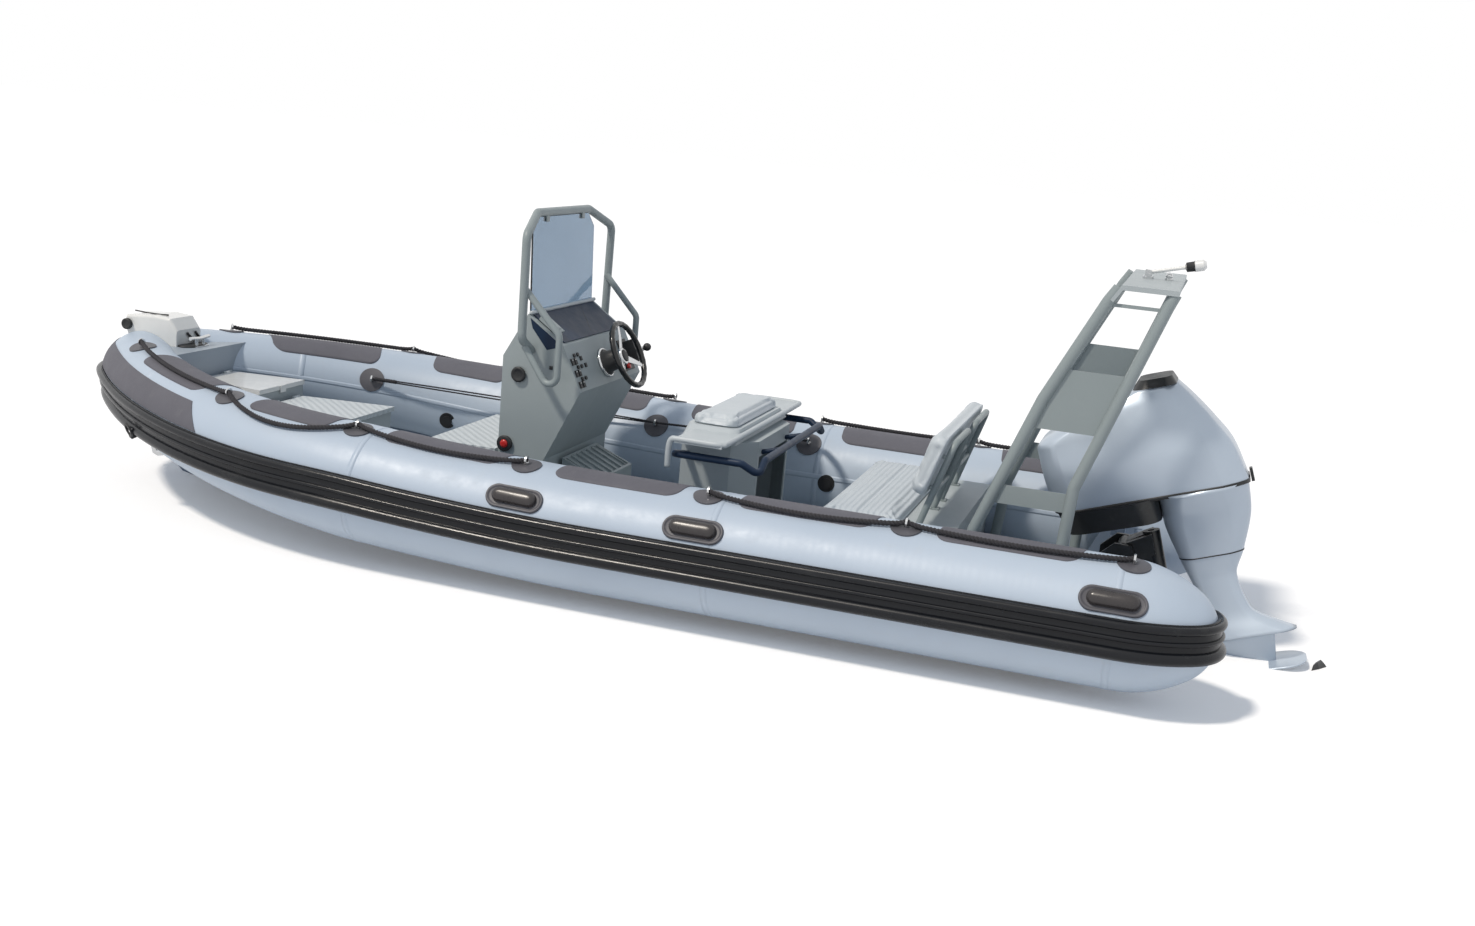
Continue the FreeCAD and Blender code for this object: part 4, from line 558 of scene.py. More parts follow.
def stations(back, front, step=0.04):
    """Distances from the transom, closer together where the tube bends or closes."""
    found = []
    x = back
    while x < min(front, BEND_START):
        found.append(x)
        x += step
    heading = heading_at(max(back, BEND_START))
    last = heading_at(front)
    while front > BEND_START and heading < last:
        found.append(x_at(heading))
        heading += math.radians(1.0 if heading < LONG_TURN else 4.0)
    found.append(front)
    return [x for i, x in enumerate(found) if i == 0 or x - found[i - 1] > 1e-5]


# Inflated tubes: full-round skins with welded seam tapes, closed by domed cones at the stern

def tube_skin():
    """The port tube from the tip of its stern cone to the centreline."""
    tip = TIP_CENTRE - TIP_RADIUS
    xs = [tip + TIP_RADIUS * (1 - math.cos(math.radians(a))) for a in range(2, 55, 4)]
    xs += list(np.linspace(xs[-1] + 0.01, CONE_START, 24))
    xs += stations(CONE_START + 0.03, NOSE_X)
    return closed([[on_tube(x, -a) for a in range(0, 360, 4)] for x in xs])


def long_tape(back, front, low, high, thick):
    """A tape along the tube between two angles, with its edges turned down to the skin."""
    rows = []
    for x in stations(back, front):
        middle = [on_tube(x, a, thick) for a in np.linspace(low, high, 4)]
        rows.append([on_tube(x, low, -0.002)] + middle + [on_tube(x, high, -0.002)])
    return lattice(rows)


TAPE_THICK = 0.0008


def seam_tape(x, width=0.028, thick=TAPE_THICK):
    """A tape welded round the tube over a joint between two panels."""
    rows = []
    for offset, out in ((-0.5, -0.001), (-0.47, thick), (0.47, thick), (0.5, -0.001)):
        rows.append([on_tube(x + offset * width, -a, out) for a in range(0, 360, 4)])
    return lattice(rows, round_rows=True)


SEAMS = (CONE_START + 0.02, 1.49, 3.06, 4.30)
port_skin = several([tube_skin(), long_tape(CONE_START, 4.60, 168, 174, TAPE_THICK)]
                    + [seam_tape(x) for x in SEAMS])
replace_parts(piece("tube_skin_port", *port_skin, TUBE, slot="tube_fabric"), "tube_port")
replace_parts(piece("tube_skin_starboard", *mirrored(port_skin), TUBE, slot="tube_fabric"), "tube_starboard")


# Ropes

def strands(line, radius, count=3, pitch=0.045, sides=7):
    """A laid rope: strands twisted round a line."""
    strand = radius * 0.56
    frames = frames_along(line, Vector((0, 0, 1)))
    parts = []
    for s in range(count):
        rows = []
        run = 0.0
        for i, (point, across, over) in enumerate(frames):
            run += (point - line[i - 1]).length if i else 0
            twist = 2 * math.pi * (run / pitch + s / count)
            middle = point + (across * math.cos(twist) + over * math.sin(twist)) * (radius - strand)
            rows.append([middle + (across * math.cos(a) + over * math.sin(a)) * strand
                         for a in full_turn(sides)])
        parts.append(closed(rows))
    return several(parts)


RING_HEIGHT, ROPE_RADIUS = 0.0236, 0.0115
INNER_RINGS, INNER_HEIGHT = [(3.950, 157), (2.346, 141.5), (1.553, 134.5)], 0.026
OUTER_RINGS = [(-0.090, 79), (0.760, 78), (1.553, 77), (2.346, 77), (3.130, 76), (3.803, 73), (4.596, 78.5)]


def rope_over(stops, sags, radius):
    """Points of a lifeline threaded through rings, each bay lying on the tube and sagging outboard."""
    points = []
    for (start, end), sag in zip(zip(stops, stops[1:]), sags):
        for share in (0.0, 0.04, 0.1, 0.2, 0.35, 0.5, 0.65, 0.8, 0.9, 0.96):
            x = start[0] + (end[0] - start[0]) * share
            angle = start[1] + (end[1] - start[1]) * share - sag * 4 * share * (1 - share)
            near = min(share, 1 - share) * 12
            out = radius + 0.004 + max(0.0, 1 - near) ** 2 * (RING_HEIGHT - radius - 0.004)
            points.append(on_tube(x, angle, out))
    points.append(on_tube(stops[-1][0], stops[-1][1], RING_HEIGHT))
    return points


fore_stops = list(reversed(OUTER_RINGS[3:]))
aft_stops = list(reversed(OUTER_RINGS[:3]))
outer_fore = strands(smooth_line(rope_over(fore_stops, (2, 22, 10), ROPE_RADIUS)), ROPE_RADIUS)
outer_aft = strands(smooth_line(rope_over(aft_stops, (10, 7), ROPE_RADIUS)), ROPE_RADIUS)


def taut(first, last, radius, shift=0.0):
    """A grab line pulled straight between two inner rings, bent only where the tube bends under it."""
    start, end = (on_tube(x, angle, INNER_HEIGHT) for x, angle in (first, last))
    points = []
    for share in np.linspace(0, 1, 25):
        point = start.lerp(end, share)
        centre, tube = section(point.x)[0], section(point.x)[3]
        off = point - centre
        off.x = 0
        if off.length < tube + radius + 0.002:
            point = point + off.normalized() * (tube + radius + 0.002 - off.length)
        points.append(point + Vector((0, 0, shift * math.sin(math.pi * share) ** 0.4)))
    return strands(smooth_line(points, 0.010), radius)


fore_ring, middle_ring, aft_ring = INNER_RINGS
# Turns of twine that bind the doubled line behind its foremost ring
whip_from, whip_to = on_tube(*fore_ring, INNER_HEIGHT), on_tube(*middle_ring, INNER_HEIGHT)
whipping = smooth_line([whip_from.lerp(whip_to, share) for share in (0.012, 0.03, 0.06, 0.09)])
lines = several([outer_fore, outer_aft, taut(fore_ring, middle_ring, 0.0045, 0.007),
                 taut(fore_ring, middle_ring, 0.0045, -0.007), taut(middle_ring, aft_ring, 0.0065),
                 strands(whipping, 0.012, pitch=0.03)])
piece("lifeline_port", *lines, ROPE, slot="handle_rubber")
piece("lifeline_starboard", *mirrored(lines), ROPE, slot="handle_rubber")


# Wear patches on the crowns of the tubes

PATCH_ENDS = [(0.092, 0.632), (0.877, 1.417), (1.662, 2.202), (2.447, 2.987), (3.245, 3.665), (3.945, 4.445)]
PATCH_OUTBOARD, PATCH_INBOARD = 66, 127
PATCH_CORNER, PATCH_SLANT, PATCH_THICK = 0.055, 0.014, 0.003


def patch_sheet(back, front):
    """A wear patch on the crown, with well-rounded corners and slanted ends."""
    middle = (back + front) / 2
    half = (front - back) / 2
    radius = section(middle)[3]
    rows = []
    for u in np.linspace(-1, 1, 41):
        u = math.sin(u * math.pi / 2)
        inset = max(0.0, PATCH_CORNER - (1 - abs(u)) * half)
        pull = math.degrees((PATCH_CORNER - math.sqrt(max(0.0, PATCH_CORNER ** 2 - inset ** 2))) / radius)
        spots = []
        for a in np.linspace(PATCH_OUTBOARD + pull, PATCH_INBOARD - pull, 17):
            across = 2 * (a - PATCH_OUTBOARD) / (PATCH_INBOARD - PATCH_OUTBOARD) - 1
            spots.append((middle + half * u - PATCH_SLANT * across, crown_angle(middle, a)))
        row = [on_tube(*spots[0], -0.001), on_tube(*spots[0], PATCH_THICK * 0.7)]
        row += [on_tube(x, a, PATCH_THICK) for x, a in spots[1:-1]]
        row += [on_tube(*spots[-1], PATCH_THICK * 0.7), on_tube(*spots[-1], -0.001)]
        rows.append(row)
    tucked = [[p - section(x)[1] * 0.003 - Vector((0, 0, 0.003)) for p in row]
              for x, row in ((back, rows[0]), (front, rows[-1]))]
    return lattice([tucked[0]] + rows + [tucked[1]])


patches = several([patch_sheet(back, front) for back, front in PATCH_ENDS])
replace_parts(piece("crown_patches", *both_sides(patches), PATCH, slot="patch_rubber"), "wear_patches")


# Grab handles: a slot-shaped pad with a raised rim, and a domed grip in it

HANDLE_XS = (-0.040, 1.560, 2.320)
HANDLE_ANGLE = 34
# Half length, half width and how far the grip sits above the pad's middle
PAD_SHAPE = (0.125, 0.050, 0.0)
GRIP_SHAPE = (0.097, 0.030, 0.002)
# Share of the outline, and height over the tube's skin
PAD_PROFILE = [(1.0, -0.001), (0.985, 0.005), (0.95, 0.0085), (0.88, 0.0095), (0.80, 0.0085), (0.74, 0.005),
               (0.68, 0.004), (0.3, 0.004)]
GRIP_PROFILE = [(1.0, 0.003), (0.97, 0.012), (0.9, 0.019), (0.75, 0.026), (0.5, 0.031), (0.2, 0.033)]


def beside(x, angle, along, across, out):
    """A point near a spot on the tube: so far along it, so far up its section, and so high over its skin."""
    radius = section(x)[3]
    return on_tube(x + along * math.cos(heading_at(x)), angle + math.degrees(across / radius), out)


def stadium(half_length, half_width, count=48):
    """Points round a slot-shaped outline."""
    straight = half_length - half_width
    found = []
    for k in range(count):
        a = 2 * math.pi * (k + 0.5) / count
        shift = straight if math.cos(a) > 0 else -straight
        found.append((shift + half_width * math.cos(a), half_width * math.sin(a)))
    return found


def dome_on_tube(x, shape, profile):
    """A moulded slot-shaped form on the tube."""
    half_length, half_width, lift = shape
    rows = []
    for share, height in profile:
        shrink = half_width * (1 - share)
        stretch = (half_length - shrink) / half_length
        rows.append([beside(x, HANDLE_ANGLE, u * stretch, v * share + lift, height)
                     for u, v in stadium(half_length, half_width)])
    return lattice(rows, round_rows=True, cap_last=True)


pads = several([dome_on_tube(x, PAD_SHAPE, PAD_PROFILE) for x in HANDLE_XS])
grips = several([dome_on_tube(x, GRIP_SHAPE, GRIP_PROFILE) for x in HANDLE_XS])
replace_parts(piece("handle_pads", *both_sides(pads), HANDLE, slot="handle_rubber"), "grab_handles")
piece("handle_grips", *both_sides(grips), GRIP, slot="handle_rubber")


# Cushions: swollen by a cloth simulation from slightly small blanks, then grooved along their seams

def blank(back, front, half, corner, low, high, edge=0.010):
    """A closed block with rounded edges, as the start of a cushion."""
    rows = []
    for inset, z in ((edge, low), (edge * 0.3, low + edge * 0.3), (0, low + edge), (0, high - edge),
                     (edge * 0.3, high - edge * 0.3), (edge, high)):
        rows.append(ring_round(back + inset, front - inset, half - inset, corner, z))
    return closed(rows)


def keep_shape(obj):
    """Replaces an object's mesh by what its modifiers make of it, and removes them."""
    evaluated = obj.evaluated_get(bpy.context.evaluated_depsgraph_get())
    shaped = bpy.data.meshes.new_from_object(evaluated)
    obj.modifiers.clear()
    obj.data = shaped
    shaped.polygons.foreach_set("use_smooth", [True] * len(shaped.polygons))


def read_points(obj):
    """An object's vertices as rows of x, y and z."""
    points = np.empty(len(obj.data.vertices) * 3)
    obj.data.vertices.foreach_get("co", points)
    return points.reshape(-1, 3)


def write_points(obj, points):
    """Moves an object's vertices to rows of x, y and z."""
    obj.data.vertices.foreach_set("co", points.ravel())
    obj.data.update()


def swell(cushion, held_below, most, low, high):
    """Blows a cushion up by cloth simulation: held below a height, moved so far at most, kept in a box."""
    rest = read_points(cushion)
    held = cushion.vertex_groups.new(name="held")
    held.add([i for i, p in enumerate(rest) if p[2] < held_below], 1.0, "REPLACE")
    cloth = cushion.modifiers.new("filling", "CLOTH")
    cloth.settings.quality = 4
    cloth.settings.mass = 0.3
    cloth.settings.use_pressure = True
    cloth.settings.uniform_pressure_force = 4.0
    cloth.settings.effector_weights.gravity = 0.0
    cloth.settings.vertex_group_mass = "held"
    cloth.point_cache.frame_start = 1
    cloth.point_cache.frame_end = 20
    for step in range(1, 21):
        bpy.context.scene.frame_set(step)
    keep_shape(cushion)
    bpy.context.scene.frame_set(1)
    moved = read_points(cushion) - rest
    reach = np.linalg.norm(moved, axis=1, keepdims=True)
    moved *= np.minimum(1.0, most / np.maximum(reach, 1e-9))
    write_points(cushion, np.clip(rest + moved, low, high))


def stuffed(name, part, body, material, voxel, held_below, most, low, high):
    """A cushion from a blank: remeshed evenly, swollen and subdivided once."""
    cushion = piece(name, *part, material, body=body, slot="pale_pad")
    remesh = cushion.modifiers.new("even", "REMESH")
    remesh.mode = "VOXEL"
    remesh.voxel_size = voxel
    keep_shape(cushion)
    swell(cushion, held_below, most, low, high)
    smooth = cushion.modifiers.new("smooth", "SUBSURF")
    smooth.levels = smooth.render_levels = 1
    keep_shape(cushion)
    return cushion


def groove(distance, depth, width):
    """How far points sink beside a seam, from their distance to it."""
    return depth * np.exp(-(distance / width) ** 2)


def sunk(points, start, rise, hollow):
    """Points pressed down by a hollow that fades in over a rise above a starting height."""
    points[:, 2] -= hollow * np.clip((points[:, 2] - start) / rise, 0, 1)
    return points


def make_bench_pad():
    """The bench's ribbed pad, with one seam along it and two across."""
    back, front, half, low, high = 0.848, 1.209, 0.562, 0.4404, 0.489
    start = blank(back + 0.008, front - 0.008, half - 0.008, 0.036, low + 0.0004, high - 0.013)
    pad = stuffed("bench_pad", start, "boat", BENCH_VINYL, 0.008, 0.446, 0.014,
                  (back, -half, low), (front, half, high))
    points = read_points(pad)
    hollow = groove(points[:, 0] - 1.028, 0.005, 0.006)
    for seam in (-0.186, 0.186):
        hollow += groove(points[:, 1] - seam, 0.005, 0.006)
    write_points(pad, sunk(points, 0.455, 0.02, hollow))
    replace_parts(pad, "bench_cushion")


def make_helm_seat_pad():
    """The pad on the helm seat's lid, with a seam round its border."""
    back, front, half, low, high = 1.628, 1.849, 0.331, 0.7064, 0.756
    start = blank(back + 0.006, front - 0.006, half - 0.006, 0.040, low + 0.0002, high - 0.012)
    pad = stuffed("helm_seat_pad", start, "helm_seat_lid_body", VINYL, 0.006, 0.712, 0.012,
                  (back, -half, low), (front, half, high))
    points = read_points(pad)
    border = np.minimum(points[:, 0] - back, front - points[:, 0])
    border = np.minimum(border, half - np.abs(points[:, 1])) - 0.030
    write_points(pad, sunk(points, 0.725, 0.02, groove(border, 0.003, 0.004)))
    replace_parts(pad, "seat_cushion")


def make_backrest_pad():
    """The backrest's pad in three panels: made lying flat, then turned up to lean aft."""
    foot = Vector((0.780, 0, 0.560))
    run, rise, depth = 0.085, 0.275, 0.075
    lean = math.atan2(run, rise)
    length = math.hypot(run, rise)
    thick = depth * math.cos(lean)
    start = blank(0.004, length - 0.004, 0.496, 0.05, 0.002, thick - 0.008, 0.016)
    pad = stuffed("backrest_pad", start, "boat", VINYL, 0.008, 0.010, 0.012,
                  (0.0, -0.502, 0.001), (length, 0.502, thick))
    points = read_points(pad)
    hollow = groove(points[:, 1] + 0.17, 0.010, 0.009) + groove(points[:, 1] - 0.17, 0.010, 0.009)
    border = np.minimum(points[:, 0], length - points[:, 0])
    border = np.minimum(border, 0.5 - np.abs(points[:, 1])) - 0.035
    points = sunk(points, 0.05, 0.015, hollow + groove(border, 0.003, 0.004))
    along = np.array([-math.sin(lean), 0, math.cos(lean)])
    across = np.array([0, 1, 0])
    outward = np.array([math.cos(lean), 0, math.sin(lean)])
    placed = points[:, 0:1] * along + points[:, 1:2] * across + points[:, 2:3] * outward
    write_points(pad, np.array(foot) + placed)
    pad.data.flip_normals()
    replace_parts(pad, "backrest_cushion")


make_bench_pad()
make_helm_seat_pad()
make_backrest_pad()


# Engine: cowl, gasket and leg as smooth mouldings, made upright and trimmed up about the tilt pin

TILT_PIN = Vector((-0.020, 0, 0.385))
TRIM_ANGLE = 18
TRIM = (Matrix.Translation(TILT_PIN) @ Matrix.Rotation(math.radians(TRIM_ANGLE), 4, "Y")
        @ Matrix.Translation(-TILT_PIN))

# Height, back, front, half width and corner radius of each upright section
COWL = [(0.603, -0.565, 0.220, 0.225, 0.110), (0.753, -0.531, 0.240, 0.235, 0.100),
        (0.878, -0.466, 0.245, 0.213, 0.085), (0.988, -0.397, 0.020, 0.173, 0.075),
        (1.046, -0.355, -0.155, 0.130, 0.060)]
GASKET = [(0.596, -0.568, 0.223, 0.228, 0.110), (0.611, -0.567, 0.224, 0.229, 0.110)]
LEG = [(0.603, -0.561, -0.2003, 0.217, 0.110), (0.500, -0.555, -0.2003, 0.150, 0.090),
       (0.310, -0.495, -0.235, 0.088, 0.060), (0.205, -0.450, -0.265, 0.062, 0.040),
       (0.060, -0.480, -0.305, 0.056, 0.040), (-0.028, -0.605, -0.310, 0.084, 0.060),
       (-0.050, -0.647, -0.305, 0.092, 0.060)]
LEG_JOINT = [(0.3075, -0.4968, -0.2340, 0.0895, 0.061), (0.3125, -0.4975, -0.2335, 0.0900, 0.061)]
# Back, front, height and half thickness of a fin's two ends
STRUT = ((-0.520, -0.290, -0.385, 0.026), (-0.560, -0.315, -0.049, 0.034))
SKEG = ((-0.590, -0.530, -0.600, 0.006), (-0.580, -0.325, -0.385, 0.012))


def eased(levels, values, at):
    """A smooth value between given levels, without overshoot."""
    steps = np.diff(levels)
    slopes = np.diff(values) / steps
    tangents = np.concatenate([[slopes[0]], np.zeros(len(slopes) - 1), [slopes[-1]]])
    for i in range(1, len(slopes)):
        a, b = slopes[i - 1], slopes[i]
        tangents[i] = 0.0 if a * b <= 0 else 2 * a * b / (a + b)
    i = int(min(max(np.searchsorted(levels, at) - 1, 0), len(steps) - 1))
    t = (at - levels[i]) / steps[i]
    return ((2 * t ** 3 - 3 * t ** 2 + 1) * values[i] + (t ** 3 - 2 * t ** 2 + t) * steps[i] * tangents[i]
            + (3 * t ** 2 - 2 * t ** 3) * values[i + 1] + (t ** 3 - t ** 2) * steps[i] * tangents[i + 1])


def pinched(p, back, front):
    """Narrows a moulding towards its aft end, past a soft crease, and a little towards its front."""
    crease = back + 0.55 * (front - back)
    aft = max(0.0, (crease - p.x) / (crease - back))
    fore = max(0.0, (p.x - crease) / (front - crease))
    return Vector((p.x, p.y * (1 - 0.42 * aft ** 1.15 - 0.16 * fore ** 2), p.z))


def moulding(sections, count):
    """A smooth trimmed form through a table of upright sections."""
    table = np.array(sorted(sections))
    rows = []
    for z in np.linspace(table[0, 0], table[-1, 0], count):
        back, front, half, corner = (eased(table[:, 0], table[:, k], z) for k in range(1, 5))
        rows.append([TRIM @ pinched(p, back, front) for p in ring_round(back, front, half, corner, z, 12)])
    return closed(rows)


def gearcase(back, front, z, radius, nose=0.13):
    """A round body with an ogive nose."""
    rows = []
    for x in np.linspace(back, front, 40):
        share = max(0.0, (x - (front - nose)) / nose)
        tail = max(0.0, (back + 0.03 - x) / 0.03)
        r = radius * math.sqrt(max(0.002, 1 - share ** 2)) * (1 - 0.15 * tail)
        rows.append([TRIM @ Vector((x, r * math.cos(a), z + r * math.sin(a))) for a in full_turn(32)])
    return closed(rows)


def fin(low, high):
    """A fin with a rounded leading edge between two ends."""
    rows = []
    for share in np.linspace(0, 1, 12):
        back, front, z, half = (a + (b - a) * share for a, b in zip(low, high))
        ring = []
        for a in full_turn(32):
            ahead = (1 + math.cos(a)) / 2
            ring.append(TRIM @ Vector((back + (front - back) * ahead,
                                       half * math.sin(a) * (0.35 + 0.65 * ahead), z)))
        rows.append(ring)
    return closed(rows)


def anti_ventilation_plate():
    """The flat plate over the propeller, with eased edges."""
    rows = []
    for z, grow in ((-0.190, -0.004), (-0.188, 0.0), (-0.182, 0.0), (-0.180, -0.004)):
        ring = ring_round(-0.665 - grow, -0.290 + grow, 0.115 + grow, 0.090, z, 10)
        rows.append([TRIM @ p for p in ring])
    return closed(rows)


def engine_piece(name, part, material, slot, smooth=True):
    """A piece that rides on the engine."""
    return piece(name, *part, material, body="engine", slot=slot, smooth=smooth)


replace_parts(engine_piece("cowl_shell", moulding(COWL, 48), SILVER, "engine_silver"), "cowl")
engine_piece("cowl_gasket", moulding(GASKET, 2), BLACK_LACQUER, "engine_black")
leg = several([moulding(LEG, 56), fin(*STRUT), anti_ventilation_plate(),
               gearcase(-0.640, -0.235, -0.385, 0.058), fin(*SKEG)])
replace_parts(engine_piece("leg_casting", leg, SILVER, "engine_silver"), "engine_leg")
# Joint between the leg's upper and lower castings
engine_piece("leg_joint", moulding(LEG_JOINT, 2), BLACK_LACQUER, "engine_black")
# Catch on the cowl's aft seam
catch = [TRIM @ Vector((x, y, z)) for x, y, z in ((-0.572, -0.018, 0.585), (-0.572, 0.018, 0.585),
                                                  (-0.570, 0.018, 0.640), (-0.570, -0.018, 0.640))]
engine_piece("cowl_catch", thin_plate(catch, -0.012), BLACK_LACQUER, "engine_black", smooth=False)


# Console: the sloping switch face and the display face above it, as in the part

FACE_FOOT, FACE_HEAD = Vector((2.346, 0, 0.772)), Vector((2.441, 0, 0.967))
FACE_UP = (FACE_HEAD - FACE_FOOT).normalized()
FACE_OUT = Vector((-FACE_UP.z, 0, FACE_UP.x))
FACE_LENGTH = 0.217
DASH_FOOT, DASH_HEAD = Vector((2.441, 0, 0.967)), Vector((2.615, 0, 1.086))
DASH_UP = (DASH_HEAD - DASH_FOOT).normalized()
DASH_OUT = Vector((-DASH_UP.z, 0, DASH_UP.x))
# The display panel stands this far over the face, and the console's sides lie this far out
PANEL_THICK, SIDE_Y = 0.0056, 0.3673
PORT = (0, 1, 0)


def on_switches(share, y, out=0.0):
    """A point on the switch face, by its share of the way up and its side."""
    return FACE_FOOT.lerp(FACE_HEAD, share) + Vector((0, y, 0)) + FACE_OUT * out


def on_dash(share, y, out=0.0):
    """A point on the display face, by its share of the way up and its side."""
    return DASH_FOOT.lerp(DASH_HEAD, share) + Vector((0, y, 0)) + DASH_OUT * out


def slab(place, share, y, height, width, thick, out=0.0003):
    """A small plate on one of the two sloping faces."""
    up_share = height / FACE_LENGTH / 2
    low, high, port, starboard = share - up_share, share + up_share, y + width / 2, y - width / 2
    corners = [place(low, port, out), place(high, port, out), place(high, starboard, out),
               place(low, starboard, out)]
    return thin_plate(corners, -thick)


# Steering: housing, bezel and wheel on the switch face's normal

HELM_SHARE = 0.42
WHEEL_AT = on_switches(HELM_SHARE, 0, 0.125)
WHEEL_RADIUS, RIM_RADIUS = 0.147, 0.013
SIDEWAYS = Vector(PORT)
HOUSING = [(0, 0.060), (0.004, 0.062), (0.016, 0.060), (0.022, 0.050), (0.062, 0.047), (0.074, 0.040),
           (0.078, 0.020)]
BEZEL = [(0, 0.069), (0.006, 0.070), (0.012, 0.067), (0.014, 0.062), (0.008, 0.061)]
HUB = [(0, 0.030), (0.002, 0.036), (0.018, 0.040), (0.022, 0.036), (0.022, 0.028)]
HUB_CAP = [(0, 0.029), (0.004, 0.028), (0.007, 0.018), (0.008, 0.005)]
SHAFT = [(0, 0.011), (0.056, 0.011)]


def wheel_point(angle, radius, out):
    """A point in the wheel's own plane, and a height over it."""
    return WHEEL_AT + (SIDEWAYS * math.cos(angle) + FACE_UP * math.sin(angle)) * radius + FACE_OUT * out


def wheel_rim():
    """The padded rim, with shallow finger waves."""
    rows = []
    for a in full_turn(96):
        thick = RIM_RADIUS + 0.0006 * math.sin(24 * a)
        rows.append([wheel_point(a, WHEEL_RADIUS + thick * math.cos(b), thick * math.sin(b))
                     for b in full_turn(16)])
    return lattice(rows + [rows[0]], round_rows=True)


def spoke(degrees):
    """A flat spoke that thins and rises from the hub to the rim."""
    a = math.radians(degrees)
    side = Vector(-SIDEWAYS * math.sin(a) + FACE_UP * math.cos(a))
    rows = []
    for share in np.linspace(0, 1, 10):
        middle = wheel_point(a, 0.020 + 0.126 * share, -0.030 * (1 - share) ** 1.4)
        half = 0.020 - 0.010 * share
        rows.append([middle + side * half * math.cos(b) + FACE_OUT * 0.0035 * math.sin(b)
                     for b in full_turn(12)])
    return closed(rows)


helm = on_switches(HELM_SHARE, 0, 0.0004)
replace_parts(piece("helm_housing", *turned(helm, FACE_OUT, HOUSING), PLASTIC, slot="black_plastic"),
            "helm_boss")
piece("helm_bezel", *turned(helm, FACE_OUT, BEZEL), STEEL, slot="polished_steel")
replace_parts(piece("wheel_rim", *wheel_rim(), GLOSS_BLACK, body="helm_wheel", slot="black_plastic"),
            "steering_wheel")
wheel_metal = several([spoke(90), spoke(210), spoke(330),
                       turned(WHEEL_AT - FACE_OUT * 0.094, FACE_OUT, SHAFT),
                       turned(WHEEL_AT - FACE_OUT * 0.040, FACE_OUT, HUB)])
piece("wheel_spokes", *wheel_metal, STEEL, body="helm_wheel", slot="polished_steel")
piece("wheel_cap", *turned(WHEEL_AT - FACE_OUT * 0.019, FACE_OUT, HUB_CAP), PLASTIC, body="helm_wheel",
      slot="black_plastic")


# Switches, throttle plate, display seam, brow and radio

ROCKER_SHARES, ROCKER_YS = (0.63, 0.38, 0.14), (0.340, 0.306)
THROTTLE_Y = -0.265

rocker_spots = [(share, y) for share in ROCKER_SHARES for y in ROCKER_YS]
switches = [slab(on_switches, share, y, 0.030, 0.020, 0.007) for share, y in rocker_spots]
switches += [slab(on_switches, share, y, 0.020, 0.016, 0.006) for share, y in ((0.66, 0.240), (0.50, 0.215))]
switches.append(slab(on_switches, 0.45, THROTTLE_Y, 0.150, 0.105, 0.004))
piece("switch_rockers", *several(switches), PLASTIC, slot="black_plastic", smooth=False)
marks = [slab(on_switches, share + 0.04, y, 0.004, 0.010, 0.0008, 0.0075) for share, y in rocker_spots]
piece("switch_marks", *several(marks), OPAL, slot="gloss_white", smooth=False)

seam = [on_dash(share, y, PANEL_THICK) for share, y in ((0.155, -0.006), (0.905, -0.171), (0.905, -0.175),
                                                       (0.155, -0.010))]
piece("dash_seam", *thin_plate(seam, 0.0008), PLASTIC, slot="black_plastic", smooth=False)


def dash_brow():
    """The pale lip along the top of the display panel."""
    rows = []
    for y in np.linspace(-0.360, 0.360, 40):
        rows.append([on_dash(0.975 + 0.040 * math.cos(a), y, 0.010 + 0.009 * math.sin(a))
                     for a in full_turn(12)])
    return closed(rows)


piece("dash_brow", *dash_brow(), SEAT_SHELL, slot="arch_paint")
radio = several([slab(on_dash, 0.52, 0.318, 0.115, 0.050, 0.024, PANEL_THICK),
                 slab(on_dash, 0.52, 0.318, 0.080, 0.034, 0.0015, 0.030)])
piece("dash_radio", *radio, CONSOLE_PAINT, slot="arch_paint", smooth=False)


# Console sides: navy insert beside the display, vent, small fittings and the console lamp

INSERT = [(2.603, 1.070), (2.590, 1.027), (2.516, 0.939), (2.456, 0.958), (2.446, 0.965)]
VENT = [(0, 0.034), (0.004, 0.035), (0.008, 0.032), (0.010, 0.026), (0.007, 0.022), (0.007, 0.004)]
LAMP_RING = [(0, 0.036), (0.004, 0.037), (0.007, 0.034), (0.007, 0.020)]
LAMP_LENS = [(0, 0.019), (0.004, 0.017), (0.006, 0.008), (0.0065, 0.001)]
LARGE_STUD = [(0, 0.011), (0.004, 0.010), (0.005, 0.004)]
SMALL_STUD = [(0, 0.008), (0.004, 0.007), (0.005, 0.003)]
STOP_SWITCH = [(0, 0.0135), (0.004, 0.0145), (0.010, 0.013), (0.012, 0.006)]


def side_insert():
    """The navy insert on the port side, as a flat plate on its outline."""
    points = [(x, y, z) for y in (0.3674, 0.3682) for x, z in INSERT]
    count = len(INSERT)
    faces = [tuple(range(count - 1, -1, -1)), tuple(range(count, 2 * count))]
    faces += [(i, (i + 1) % count, (i + 1) % count + count, i + count) for i in range(count)]
    return points, faces


piece("tray_port", *side_insert(), NAVY_AND_PAINTED_SHADE, slot="navy_panel", smooth=False)
piece("tray_starboard", *mirrored(side_insert()), NAVY_AND_PAINTED_SHADE, slot="navy_panel", smooth=False)
# The vent and the lamp stand on bosses of the part
side_fittings = several([turned((2.640, 0.3755, 0.815), PORT, VENT),
                         turned((2.491, SIDE_Y, 0.863), PORT, LARGE_STUD, 4),
                         turned((2.516, SIDE_Y, 0.810), PORT, SMALL_STUD, 4),
                         turned((2.688, 0.3755, 0.497), PORT, LAMP_RING)])
piece("side_fittings", *side_fittings, PLASTIC, slot="black_plastic")
red_parts = several([turned((2.688, 0.3830, 0.497), PORT, LAMP_LENS),
                     turned(on_switches(0.2, -0.190, 0.0262), FACE_OUT, STOP_SWITCH)])
piece("red_lens_and_stop", *red_parts, RED, slot="black_plastic")


